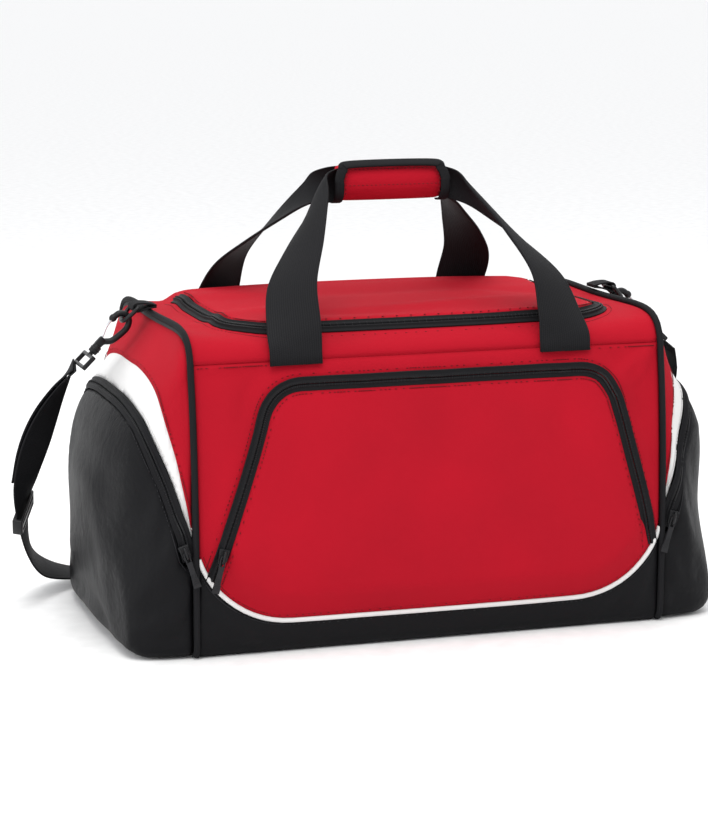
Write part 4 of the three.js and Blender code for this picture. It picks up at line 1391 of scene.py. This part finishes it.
class HOLDALL_OT_front_pocket(bpy.types.Operator):
    """Make the front pocket's panel and its arched zip"""

    bl_idname = "holdall.front_pocket"
    bl_label = "Front Pocket"

    def execute(self, context):
        body = SHELLS["body"]
        size = SIZES()
        inside = wall_distance(closed_arch(-0.0066))
        trim = wall_distance(above_trim(size.trim_width / 2))
        edge = combined(inside, trim)
        patch = Patch(range(ROWS), range(0, COLUMNS // 2)).trim(inside).trim(trim)
        dip = tucked(edge)
        piece = cloth_panel("front_pocket_cloth", body, patch,
                            lambda places: pocket_lift(places) + dip(places), size.cloth,
                            ["red", "lining"])
        hand_over(piece, "bag", "red_cloth", "front_pocket_panel")
        line = even(arch_line(), 400)
        line = line[signed_distance(line, above_trim(0.001)) > 0]
        places = places_on_wall(line, -1)
        rise = pocket_lift(places)
        made = zip_fastener("front_zip", body.place(places, rise - 0.0006), body.facing(places), 0.22)
        for word, tape in made.items():
            slot = "zip_tape" if "tape" in word else "plastic"
            nodes = ["front_pocket_zip"] if word == "inner_tape" else []
            hand_over(tape, "bag", slot, *nodes)
        for word, shift, lift in (("pocket", -0.0090, -0.0002), ("wall", 0.0092, 0.0)):
            beside = grown(line, shift)
            beside = beside[signed_distance(beside, above_trim(0.003)) > 0]
            spots = places_on_wall(beside, -1)
            height = pocket_lift(spots) + lift if word == "pocket" else wall_lift(spots)
            stitches(f"front_zip_{word}_stitches", body.place(spots, height), body.facing(spots),
                     "red_thread", "bag", "red_cloth")
        return {"FINISHED"}


class HOLDALL_OT_end_pockets(bpy.types.Operator):
    """Make the two domed end pockets: red upper panel, white band, zip and black panel"""

    bl_idname = "holdall.end_pockets"
    bl_label = "End Pockets"

    def execute(self, context):
        for hand in ("left", "right"):
            self.make(hand)
        return {"FINISHED"}

    def make(self, hand):
        shell = SHELLS[hand]
        cloth = SIZES().cloth
        rows = range(DOME_ROWS)
        columns = range(COLUMNS + 1)
        start = lambda places: places[:, 0] * 0.002 + 0.0005
        band = end_distance(hand, below_seam(BAND_SEAM))
        zip_line = end_distance(hand, below_seam(POCKET_ZIP))
        seam_places = self.crossing(zip_line)
        from_zip = self.along_cloth(shell, zip_line, seam_places)
        above_zip = lambda places: -from_zip(places) - TAPE_WIDTH
        below_zip = lambda places: from_zip(places) - TAPE_WIDTH
        regions = (
            ("end_upper_cloth", [outside(band)], ["red", "lining"], "red_cloth", "end_upper_panel"),
            ("end_band_cloth", [band, above_zip], ["white", "lining"], "white_trim", "end_band"),
            ("pocket_cloth", [below_zip], ["black", "lining"], "black_cloth", "pocket_panel"),
        )
        for word, cuts, finishes, slot, node in regions:
            patch = Patch(rows, columns)
            for cut in cuts:
                patch.trim(cut)
            patch.close_over(rows[-1])
            piece = cloth_panel(f"{hand}_{word}", shell, patch, tucked(combined(*cuts, start)),
                                cloth, finishes)
            merge_doubles(piece, 0.00002)
            hand_over(piece, "bag", slot, f"{hand}_{node}")
        places = seam_places
        spots = even(np.hstack([shell.place(places, 0.0002), shell.facing(places)]), 200)
        if hand == "left":
            spots = spots[::-1]
        made = zip_fastener(f"{hand}_zip", spots[:, :3], spots[:, 3:])
        for word, piece in made.items():
            slot = "zip_tape" if "tape" in word else "plastic"
            nodes = [f"{hand}_pocket_zip"] if word == "inner_tape" else []
            hand_over(piece, "bag", slot, *nodes)
        for word, field, shift, thread, slot in (
                ("band", band, 0.0022, "red_thread", "red_cloth"),
                ("zip_above", from_zip, 0.0092, "white", "white_trim"),
                ("zip_below", from_zip, -0.0092, "black_thread", "black_cloth")):
            line = self.crossing(lambda p, f=field, s=shift: f(p) + s)
            if len(line) > 8:
                stitches(f"{hand}_{word}_stitches", shell.place(line, 0.0001), shell.facing(line),
                         thread, "bag", slot)

    def along_cloth(self, shell, field, places):
        """Distance from a seam, measured in space, with the sign of a flat distance."""
        seam = even(shell.drawn(places), 500)

        def distance(spots):
            points = shell.drawn(spots)
            nearest = np.full(len(points), 1e9)
            for a in seam:
                nearest = np.minimum(nearest, np.sum((points - a)**2, axis=1))
            return np.sign(field(spots)) * np.sqrt(nearest)
        return distance

    def crossing(self, field):
        """Places where a distance is zero, one for each column that has one, in order."""
        rows = np.linspace(0, SEAM_ROWS, 2 * SEAM_ROWS + 1)
        columns = np.arange(0, COLUMNS + 1, 2)
        grid = np.array([(r, c) for c in columns for r in rows], float)
        values = field(grid).reshape(len(columns), len(rows))
        found = []
        for c, line in zip(columns, values):
            change = np.nonzero(line[:-1] * line[1:] < 0)[0]
            if len(change):
                k = change[0]
                t = line[k] / (line[k] - line[k + 1])
                found.append((rows[k] + (rows[k + 1] - rows[k]) * t, c))
        return np.array(found)


# ---------------------------------------------------------------- handles and grip
def strip(name, rows, width, thickness, finish, count, bow=0.0):
    """Webbing along rows of place and direction across, narrowing by bowing along its length."""
    line = catmull(rows, count)
    run = even(line, count)
    points, side = run[:, :3], run[:, 3:6]
    along = np.gradient(points, axis=0)
    along /= np.linalg.norm(along, axis=1)[:, None]
    off = np.cross(side, along)
    along, across, off = frames_along(points, off)
    share = run[:, 6] / width if run.shape[1] > 6 else np.ones(len(points))
    section = strap_section(width, thickness)
    rings = (points[:, None] + across[:, None] * (section[:, 0] * share[:, None])[..., None]
             + off[:, None] * (section[:, 1] + bow * (1 - share)[:, None]
                               * (1 - (2 * section[:, 0] / width)**2))[..., None])
    piece = sweep(name, points, off, section, [finish])
    piece.data.vertices.foreach_set("co", rings.ravel())
    piece.data.update()
    turn_outwards(piece)
    return piece


def handle_rows(side):
    """Rows of a carry handle, up one side, through the grip and down the other."""
    left = [(x, -side * y, z, a, -side * b, c, w) for x, y, z, a, b, c, w in HANDLE_ROUTE]
    right = [(-x, y, z, -a, b, c, w) for x, y, z, a, b, c, w in left[::-1]]
    rows = left + [(0, side * 0.012, GRIP_Z, 0, 0, 1, 0.030)] + right
    return [(x + GRIP_X * smoothstep(0.29, 0.37, z), y, z, *rest) for x, y, z, *rest in rows]


class HOLDALL_OT_handles(bpy.types.Operator):
    """Make the two webbing carry handles, sewn under the top's front and back seams"""

    bl_idname = "holdall.handles"
    bl_label = "Carry Handles"

    def execute(self, context):
        for name, side in (("front", -1), ("rear", 1)):
            piece = strip(f"{name}_handle_web", handle_rows(side), 0.050, SIZES().webbing,
                          "webbing", 150, 0.016)
            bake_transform(piece)
            hand_over(piece, None, "webbing", f"{name}_handle_webbing")
            self.reinforce(name, side)
        return {"FINISHED"}

    def reinforce(self, name, side):
        """Boxed cross stitching on the wall below each strap."""
        body = SHELLS["body"]
        for hand, x in (("left", -HANDLE_X), ("right", HANDLE_X)):
            low, high = SEAM_Z - 0.020, SEAM_Z - 0.003
            corners = {"a": (x - 0.022, low), "b": (x + 0.022, low), "c": (x + 0.022, high),
                       "d": (x - 0.022, high)}
            for path in ("dabc", "ac", "bd"):
                line = even(np.array([corners[k] for k in path]), 40)
                places = places_on_wall(line, side)
                stitches(f"{name}_{hand}_box_stitches_{path}", body.place(places), body.facing(places),
                         "red_thread", "bag", "red_cloth")


def plumped(piece, voxel, pressure, cap):
    """Swells a closed pad as cloth under pressure, then smooths it by one subdivision."""
    apply_modifier(piece, "REMESH", mode="VOXEL", voxel_size=voxel)
    before = np.array([v.co for v in piece.data.vertices])
    cloth = piece.modifiers.new("cloth", "CLOTH")
    cloth.settings.quality = 5
    cloth.settings.mass = 0.2
    cloth.settings.tension_stiffness = cloth.settings.compression_stiffness = 12
    cloth.settings.bending_stiffness = 0.6
    cloth.settings.use_pressure = True
    cloth.settings.uniform_pressure_force = pressure
    cloth.settings.effector_weights.gravity = 0
    for step in range(1, CLOTH_STEPS + 1):
        bpy.context.scene.frame_set(step)
    lain = piece.evaluated_get(bpy.context.evaluated_depsgraph_get())
    moved = np.array([v.co for v in lain.data.vertices]) - before
    bpy.context.scene.frame_set(1)
    piece.modifiers.remove(cloth)
    size = np.linalg.norm(moved, axis=1)
    moved *= np.minimum(1, cap / np.maximum(size, 1e-9))[:, None]
    piece.data.vertices.foreach_set("co", (before + moved).ravel())
    piece.data.update()
    apply_modifier(piece, "SUBSURF", levels=1, render_levels=1)
    return smooth(piece, 60)


def lay_cloth_map(piece, mapping):
    """Gives a piece cloth coordinates from each point's place."""
    mesh = piece.data
    points = np.array([v.co for v in mesh.vertices])
    corners = np.zeros(len(mesh.loops), int)
    mesh.loops.foreach_get("vertex_index", corners)
    layer = mesh.uv_layers.get("cloth") or mesh.uv_layers.new(name="cloth")
    layer.data.foreach_set("uv", mapping(points)[corners].ravel())
    return piece


class HOLDALL_OT_grip(bpy.types.Operator):
    """Make the padded grip that wraps both handles: two halves, edge binding and stitching"""

    bl_idname = "holdall.grip"
    bl_label = "Grip"

    def execute(self, context):
        for name, side in (("front", -1), ("rear", 1)):
            self.pad(name, side)
        self.binding()
        return {"FINISHED"}

    def pad(self, name, side):
        long = 2 * GRIP_HALF - (0.003 if side < 0 else 0.022)
        high, deep, gap = GRIP_HEIGHT - 0.003, GRIP_DEPTH - 0.0022, 0.0006
        piece = primitive("cube", f"{name}_grip_half", (long, deep - gap, high),
                          (GRIP_X, side * (deep + gap) / 2, GRIP_Z), size=1)
        deselect()
        piece.select_set(True)
        bpy.ops.object.mode_set(mode="EDIT")
        bpy.ops.mesh.select_all(action="SELECT")
        bpy.ops.mesh.subdivide(number_cuts=7)
        bpy.ops.object.mode_set(mode="OBJECT")
        for vertex in piece.data.vertices:
            x, y, z = vertex.co
            out = abs(y) / deep
            up = (z - GRIP_Z) / (high / 2)
            pinch = 1 - 0.30 * out**3 * abs(up)**3
            vertex.co.z = GRIP_Z + (z - GRIP_Z) * (1 - 0.18 * out**4)
            vertex.co.y = y * pinch * (1 - 0.12 * (abs(x - GRIP_X) / GRIP_HALF)**6)
        apply_modifier(piece, "SUBSURF", levels=1, render_levels=1)
        plumped(piece, 0.0030, 3.0, 0.0016)
        piece.data.materials.append(FINISHES["red"])
        lay_cloth_map(piece, lambda p: np.stack(
            [p[:, 0], 0.02 * np.arctan2(p[:, 2] - GRIP_Z, np.abs(p[:, 1]) + 0.004)], axis=1))
        for vertex in piece.data.vertices:
            vertex.co.y = side * max(side * vertex.co.y, 0.0004)
        hand_over(piece, f"{name}_handle", "red_cloth", f"{name}_grip_pad")

    def binding(self):
        """Ribbed binding round the two ends and the free edge of the front flap, and its stitches."""
        x, top, low = GRIP_HALF - 0.001, GRIP_Z + GRIP_HEIGHT / 2 - 0.001, GRIP_Z - GRIP_HEIGHT / 2
        end = np.array([(-x, -0.004, low + 0.0005), (-x, -0.0155, low + 0.002), (-x, -0.0225, low + 0.009),
                        (-x, -0.0240, GRIP_Z), (-x, -0.0236, top - 0.014),
                        (-x + 0.004, -0.0215, top - 0.005), (-x + 0.014, -0.0190, top)])
        path = np.vstack([end, (end * [-1, 1, 1])[::-1]])
        line = even(catmull(path, 240), 180)
        normals = line * [0, 1, 1] - [0, -0.004, GRIP_Z]
        line[:, 0] += GRIP_X
        half = 0.0046
        section = [(half, -0.0006), (half, 0.0008), (0.7 * half, 0.0015), (-0.7 * half, 0.0015),
                   (-half, 0.0008), (-half, -0.0006)]
        piece = sweep("grip_binding", line, normals, section, ["binding"])
        hand_over(piece, "front_handle", "webbing")
        inner = line.copy()
        inner[:, 0] = GRIP_X + (inner[:, 0] - GRIP_X) * (1 - 0.0062 / x)
        inner[:, 2] = np.minimum(inner[:, 2], top - 0.0050)
        inner[:, 1] -= 0.0002
        stitches("grip_binding_stitches", inner[20:-20], normals[20:-20] * [0, 1, 0.2], "red_thread",
                 "front_handle", "red_cloth")
        rows = np.linspace(-x + 0.010, x - 0.010, 60)
        middle = np.stack([rows + GRIP_X, np.full(60, -0.0251), np.full(60, GRIP_Z - 0.002)], axis=1)
        stitches("grip_middle_stitches", middle, np.tile([0, -1.0, 0], (60, 1)), "red_thread",
                 "front_handle", "red_cloth")


# ---------------------------------------------------------------- rings, hooks and the shoulder strap
def shaped(piece, pick, operator, **settings):
    """Runs an edit operator on the points of a piece that pick chooses."""
    deselect()
    piece.select_set(True)
    bpy.context.view_layer.objects.active = piece
    bpy.ops.object.mode_set(mode="EDIT")
    bpy.ops.mesh.select_all(action="DESELECT")
    bpy.ops.object.mode_set(mode="OBJECT")
    for vertex in piece.data.vertices:
        vertex.select = bool(pick(vertex.co))
    bpy.ops.object.mode_set(mode="EDIT")
    bpy.ops.mesh.select_mode(type="VERT")
    operator(**settings)
    bpy.ops.object.mode_set(mode="OBJECT")
    return piece


def closed_bar(name, points, radius, finish):
    """A round bar bent into a closed ring with softened corners."""
    line = even(np.array(points, float), 72, closed=True)
    for _ in range(3):
        line = (line * 2 + np.roll(line, 1, axis=0) + np.roll(line, -1, axis=0)) / 4
    normals = np.tile(side_normal(line), (len(line), 1))
    return sweep(name, line, normals, circle_section(radius, 12), [finish], closed=True)


def cut(piece, name, size, at):
    """Cuts a block-shaped opening through a piece."""
    tool = primitive("cube", name, size, at, size=1)
    apply_modifier(piece, "BOOLEAN", operation="DIFFERENCE", object=tool)
    bpy.data.objects.remove(tool)
    return piece


class HOLDALL_OT_rings_and_hooks(bpy.types.Operator):
    """Make the ring tabs, D-rings, snap hooks, gates and strap eyes"""

    bl_idname = "holdall.rings_and_hooks"
    bl_label = "Rings and Hooks"

    def execute(self, context):
        for hand, side in (("left", -1), ("right", 1)):
            out, across, up = (side, 0, 0), (0, side, 0), (0, 0, 1)
            origin = (side * RING_X, RING_Y, RING_Z)
            c, s = math.cos(HOOK_SLOPE), math.sin(HOOK_SLOPE)
            down, tilted_up = (side * c, 0, -s), (side * s, 0, c)
            hook_origin = np.array(origin) + RING_REACH * np.array(down)
            set_in(self.tab(hand), origin, out, across, up)
            set_in(self.ring(hand), origin, down, across, tilted_up)
            for piece in (self.hook(hand), self.gate(hand), self.eye(hand)):
                set_in(piece, hook_origin, down, across, tilted_up)
        return {"FINISHED"}

    def tab(self, hand):
        path = [(-0.019, 0.0016), (-0.010, 0.0036), (0, 0.0038), (0.0036, 0.0012), (0.0028, -0.0030),
                (-0.002, -0.0038), (-0.010, -0.0012), (-0.019, 0.0001)]
        rows = [(x, 0, z, 0, 1, 0) for x, z in path]
        piece = strip(f"{hand}_tab_webbing", rows, 0.022, 0.0016, "webbing", 48)
        return hand_over(piece, "bag", "webbing", f"{hand}_ring_tab")

    def ring(self, hand):
        bow = catmull([(0, RING_HALF), (0.004, RING_HALF), (RING_REACH - 0.003, RING_HALF - 0.005),
                       (RING_REACH, 0), (RING_REACH - 0.003, 0.005 - RING_HALF), (0.004, -RING_HALF),
                       (0, -RING_HALF)], 60)
        points = np.hstack([bow, np.zeros((60, 1))])
        piece = closed_bar(f"{hand}_d_ring", points, 0.0021, "plastic")
        return hand_over(piece, "bag", "plastic", f"{hand}_ring")

    def hook(self, hand):
        line = [(u * MM, 0, v * MM) for u, v in HOOK_PATH]
        jaw = bar("jaw", line, 0.0031, "plastic", 6)
        nose = primitive("uv_sphere", "nose", (0.0042, 0.0037, 0.0037), (0.0038, 0, 0.008),
                         segments=16, ring_count=10, radius=1)
        barrel = primitive("cylinder", "barrel", (1, 1, 1), (0.0375, 0, 0), (0, math.pi / 2, 0),
                           vertices=28, radius=0.0046, depth=0.009)
        apply_modifier(barrel, "BEVEL", width=0.001, segments=3)
        collar = primitive("torus", "collar", (1, 1, 1), (0.0375, 0, 0), (0, math.pi / 2, 0),
                           major_radius=0.0045, minor_radius=0.0007, major_segments=28,
                           minor_segments=8)
        body = block("hook_body", (0.010, 0.0064, 0.0072), (0.029, 0, 0.0010), 0.0016)
        piece = joined(f"{hand}_snap_hook", [jaw, nose, barrel, collar, body], "plastic")
        return hand_over(smooth(piece), "bag", "plastic", f"{hand}_hook")

    def gate(self, hand):
        apart = 0.0016
        line = [(u * MM, apart, v * MM) for u, v in GATE_PATH]
        back = [(u, -y, v) for u, y, v in line[::-1]]
        tip = (line[0][0] - 0.0014, 0, line[0][2])
        piece = bar(f"{hand}_gate_wire", [*back, tip, *line], 0.0008, "steel", 4)
        return hand_over(piece, f"{hand}_gate", "steel", f"{hand}_hook_gate")

    def eye(self, hand):
        frame_piece = block("eye_frame", (0.016, 0.045, 0.0042), (0.052, 0, 0), 0.0008, 2)
        cut(frame_piece, "eye_opening", (0.009, 0.0396, 0.02), (0.052, 0, 0))
        apply_modifier(frame_piece, "BEVEL", width=0.0007, segments=2, limit_method="ANGLE")
        pin = primitive("cylinder", "pin", (1, 1, 1), (0.0432, 0, 0), (0, math.pi / 2, 0),
                        vertices=20, radius=0.0022, depth=0.005)
        head = block("pin_head", (0.003, 0.010, 0.0050), (0.0455, 0, 0), 0.001)
        piece = joined(f"{hand}_strap_loop", [frame_piece, pin, head], "plastic")
        return hand_over(smooth(piece), "bag", "plastic", f"{hand}_strap_eye")


def strap_facing(rows):
    """Unit directions across, along and away at each row of the strap."""
    points, side = np.array(rows, float)[:, :3], np.array(rows, float)[:, 3:6]
    along = np.gradient(points, axis=0)
    along /= np.linalg.norm(along, axis=1)[:, None]
    side = side - along * np.sum(side * along, axis=1)[:, None]
    side /= np.linalg.norm(side, axis=1)[:, None]
    return side, along, np.cross(side, along)


class HOLDALL_OT_shoulder_strap(bpy.types.Operator):
    """Make the clip-on shoulder strap, its doubled end and its adjuster"""

    bl_idname = "holdall.shoulder_strap"
    bl_label = "Shoulder Strap"

    def execute(self, context):
        strap = strip("shoulder_strap_webbing", STRAP_ROUTE, STRAP_WIDTH, STRAP_THICKNESS,
                      "webbing", 260)
        hand_over(strap, "bag", "webbing", "shoulder_strap")
        doubled = []
        for k, distance in enumerate(RETURN_SPREAD):
            p, q = np.array(STRAP_ROUTE[k][:3]), np.array(STRAP_ROUTE[k + 1][:3])
            away = np.cross(STRAP_ROUTE[k][3:], q - p)
            away /= np.linalg.norm(away)
            doubled.append((*(p - math.copysign(distance, away[0]) * away), *STRAP_ROUTE[k][3:]))
        turned = strip("strap_return_webbing", doubled, STRAP_WIDTH, STRAP_THICKNESS, "webbing", 50)
        hand_over(turned, "bag", "webbing", "strap_return")
        side, along, away = (rows[ADJUSTER_ROW] for rows in strap_facing(STRAP_ROUTE))
        adjuster = block("adjuster", (0.048, 0.018, 0.010), (0, 0, 0), 0.0012, 2)
        cut(adjuster, "adjuster_slot", (0.041, 0.03, 0.0066), (0, 0, 0))
        cut(adjuster, "adjuster_window_a", (0.040, 0.0044, 0.03), (0, 0.0042, 0))
        cut(adjuster, "adjuster_window_b", (0.040, 0.0044, 0.03), (0, -0.0042, 0))
        apply_modifier(adjuster, "BEVEL", width=0.0005, segments=2, limit_method="ANGLE")
        adjuster = joined("strap_adjuster_frame", [adjuster], "plastic")
        set_in(smooth(adjuster), STRAP_ROUTE[ADJUSTER_ROW][:3], side, along, away)
        hand_over(adjuster, "bag", "plastic", "strap_adjuster")
        path = [tuple(map(float, p[:3])) for p in even(catmull(STRAP_ROUTE, 400), 120)]
        return {"FINISHED"}


# ---------------------------------------------------------------- sliders and pulls
class HOLDALL_OT_sliders(bpy.types.Operator):
    """Make the four zip sliders and their rubber pulls"""

    bl_idname = "holdall.sliders"
    bl_label = "Zip Sliders and Pulls"

    def execute(self, context):
        for name, (place, along, away) in SLIDERS.items():
            along = np.array(along) / np.linalg.norm(along)
            away = np.array(away, float)
            across = np.cross(along, away)
            place = np.array(place) - away * (0.0010 if "left" in name or "right" in name else 0.0018)
            slider = self.slider(name)
            set_in(slider, place, across, along, away)
            hand_over(slider, f"{name}_slider", "plastic", f"{name}_slider")
            turn = -1 if name == "main_zip" else 1
            pull = self.pull(name)
            set_in(pull, place + away * PIN_HEIGHT, across, turn * along, turn * away)
            hand_over(pull, f"{name}_pull", "rubber", f"{name}_pull")
        return {"FINISHED"}

    def slider(self, name):
        plate = primitive("cube", "plate", (0.0102, 0.0140, 0.0034), (0, 0, 0.0017), size=1)
        shaped(plate, lambda p: p.y < 0, bpy.ops.transform.resize, value=(0.66, 1, 1),
               center_override=(0, 0, 0.0017))
        apply_modifier(plate, "BEVEL", width=0.0011, segments=3)
        rails = [block("rail", (0.0011, 0.0100, 0.0012), (x, 0.0008, 0.0036), 0.0004)
                 for x in (-0.0036, 0.0036)]
        bridge = bar("bridge", [(0, -0.0050, 0.0026), (0, -0.0052, 0.0060), (0, -0.0030, 0.0075),
                                (0, 0.0030, 0.0075), (0, 0.0052, 0.0060), (0, 0.0050, 0.0026)],
                     0.0011, "plastic", 5)
        return smooth(joined(f"{name}_slider_body", [plate, *rails, bridge], "plastic"))

    def pull(self, name):
        link = bar("link", [(-0.0021, -0.0090, 0), (-0.0021, -0.0030, 0), (-0.0019, 0.0001, 0),
                            (0.0019, 0.0001, 0), (0.0021, -0.0030, 0), (0.0021, -0.0090, 0)],
                   0.0007, "rubber", 4)
        tab = primitive("cube", "tab", (0.0072, 0.0255, 0.0026), (0, -0.02125, 0), size=1)
        shaped(tab, lambda p: p.y > -0.01, bpy.ops.transform.resize, value=(0.80, 1, 0.85),
               center_override=(0, 0, 0))
        shaped(tab, lambda p: True, bpy.ops.mesh.subdivide, number_cuts=4)
        shaped(tab, lambda p: -0.026 < p.y < -0.012, bpy.ops.transform.resize, value=(0.82, 1, 1),
               center_override=(0, 0, 0))
        apply_modifier(tab, "BEVEL", width=0.0007, segments=2, limit_method="ANGLE")
        ribs = [block("rib", (0.0050, 0.0009, 0.0033), (0, -0.0300 + 0.0022 * k, 0), 0.0003, 2)
                for k in range(5)]
        return smooth(joined(f"{name}_pull_tab", [link, tab, *ribs], "rubber"))


# ---------------------------------------------------------------- inside and stage
class HOLDALL_OT_inside(bpy.types.Operator):
    """Make the stiff base board and the lining walls that divide off the end pockets"""

    bl_idname = "holdall.inside"
    bl_label = "Inside"

    def execute(self, context):
        low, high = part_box("base_board")
        size, middle = high - low, (high + low) / 2
        board = block("stiff_base_board", size, middle, 0.0011, 3)
        joined("stiff_base_board", [board], "board")
        hand_over(smooth(board), "bag", "board", "base_board")
        body = SHELLS["body"]
        for hand, side in (("left", -1), ("right", 1)):
            ring = body.soft[0 if side < 0 else -1] * [0, 1, 1]
            middle = ring.mean(axis=0)
            count = len(ring)
            rings, faces = [], []
            for thick in (0.0006, 0.0020):
                for share in (1.0, 0.66, 0.33):
                    flat = middle + (ring - middle) * share
                    flat[:, 0] = side * (HALF_LENGTH + thick)
                    rings.append(flat)
            for base in (0, 3 * count):
                for k in range(2):
                    for j in range(count):
                        l = (j + 1) % count
                        a, b = base + k * count, base + (k + 1) * count
                        faces.append([a + j, a + l, b + l, b + j])
                faces.append([base + 2 * count + j for j in range(count)])
            faces += [[j, (j + 1) % count, 3 * count + (j + 1) % count, 3 * count + j]
                      for j in range(count)]
            points = np.vstack(rings)
            piece = new_piece(f"{hand}_end_wall_cloth", points, faces, points[:, 1:], ["lining"])
            turn_outwards(piece)
            hand_over(piece, "bag", "lining", f"{hand}_end_wall")
        return {"FINISHED"}


SKY_COLOUR, SKY_STRENGTH = (0.985, 0.99, 1.0, 1), 1.05
# Soft lamps: name, place, size, power in watts, colour.
LAMPS = (
    ("key", (-0.5, -1.1, 2.3), 1.5, 26, (1, 0.985, 0.96)),
    ("top", (0.3, 0.5, 2.4), 2.0, 20, (1, 1, 1)),
    ("side", (-2.0, -0.6, 0.9), 1.2, 9, (0.97, 0.98, 1)),
)
LOOK_AT = Vector((0, 0, 0.2))  # what the lamps and the camera face
# Angles in degrees; the offset slides the camera to its right and up.
CAMERA = {"azimuth": -16.63, "elevation": 9.76, "roll": -0.4, "distance": 2.5371,
          "offset": (-0.0283, -0.0060), "lens": 112.9}


class HOLDALL_OT_stage(bpy.types.Operator):
    """Set the floor, the soft studio light and the camera"""

    bl_idname = "holdall.stage"
    bl_label = "Stage"

    def execute(self, context):
        floor = primitive("grid", "floor", (1, 1, 1), (0, 0, -0.0004), size=400,
                          x_subdivisions=4, y_subdivisions=4)
        floor.data.materials.append(FINISHES["floor"])
        world = bpy.data.worlds.new("soft_studio")
        world.use_nodes = True
        background = world.node_tree.nodes["Background"]
        background.inputs["Color"].default_value = SKY_COLOUR
        background.inputs["Strength"].default_value = SKY_STRENGTH
        context.scene.world = world
        context.scene.view_settings.view_transform = "Standard"
        for lamp in LAMPS:
            self.light(*lamp)
        self.camera(context, **CAMERA)
        return {"FINISHED"}

    def light(self, name, place, size, power, tint):
        data = bpy.data.lights.new(name, "AREA")
        data.shape, data.size, data.energy, data.color = "DISK", size, power, tint
        lamp = bpy.data.objects.new(name, data)
        lamp.location = place
        lamp.rotation_euler = (LOOK_AT - Vector(place)).to_track_quat("-Z", "Y").to_euler()
        bpy.context.scene.collection.objects.link(lamp)

    def camera(self, context, azimuth, elevation, roll, distance, offset, lens):
        a, e, r = (math.radians(angle) for angle in (azimuth, elevation, roll))
        back = Vector((math.sin(a) * math.cos(e), -math.cos(a) * math.cos(e), math.sin(e)))
        right = Vector((math.cos(a), math.sin(a), 0))
        up = back.cross(right)
        right, up = (right * math.cos(r) + up * math.sin(r), up * math.cos(r) - right * math.sin(r))
        data = bpy.data.cameras.new("camera")
        data.lens, data.sensor_width, data.clip_start = lens, 36, 0.05
        camera = bpy.data.objects.new("camera", data)
        turn = Matrix((right, up, back)).transposed().to_4x4()
        place = LOOK_AT + back * distance + right * offset[0] + up * offset[1]
        camera.matrix_world = Matrix.Translation(place) @ turn
        context.scene.collection.objects.link(camera)
        context.scene.camera = camera


# ---------------------------------------------------------------- sidebar and registration
OPERATORS = (HOLDALL_OT_stage, HOLDALL_OT_shoulder_strap, HOLDALL_OT_cloth_shape, HOLDALL_OT_main_panels,
             HOLDALL_OT_lid, HOLDALL_OT_trims, HOLDALL_OT_main_zip, HOLDALL_OT_front_pocket,
             HOLDALL_OT_end_pockets, HOLDALL_OT_handles, HOLDALL_OT_grip, HOLDALL_OT_rings_and_hooks,
             HOLDALL_OT_sliders, HOLDALL_OT_inside)


class HOLDALL_PT_sidebar(bpy.types.Panel):
    """Sizes, colours and pieces of the holdall"""

    bl_label = "Sports Holdall"
    bl_idname = "HOLDALL_PT_sidebar"
    bl_space_type = "VIEW_3D"
    bl_region_type = "UI"
    bl_category = "Holdall"

    def draw(self, context):
        for group in (context.scene.holdall_sizes, context.scene.holdall_colours):
            for name in group.__annotations__:
                self.layout.prop(group, name)
        for operator in OPERATORS:
            self.layout.operator(operator.bl_idname)


CLASSES = (HoldallSizes, HoldallColours, *OPERATORS, HOLDALL_PT_sidebar)


def register():
    for made in CLASSES:
        bpy.utils.register_class(made)
    bpy.types.Scene.holdall_sizes = bpy.props.PointerProperty(type=HoldallSizes)
    bpy.types.Scene.holdall_colours = bpy.props.PointerProperty(type=HoldallColours)


def unregister():
    del bpy.types.Scene.holdall_sizes, bpy.types.Scene.holdall_colours
    for made in reversed(CLASSES):
        bpy.utils.unregister_class(made)


def main():
    register()
    make_finishes(bpy.context.scene.holdall_colours)
    for operator in OPERATORS:
        getattr(bpy.ops.holdall, operator.bl_idname.split(".")[1])()


if __name__ == "__main__":
    main()
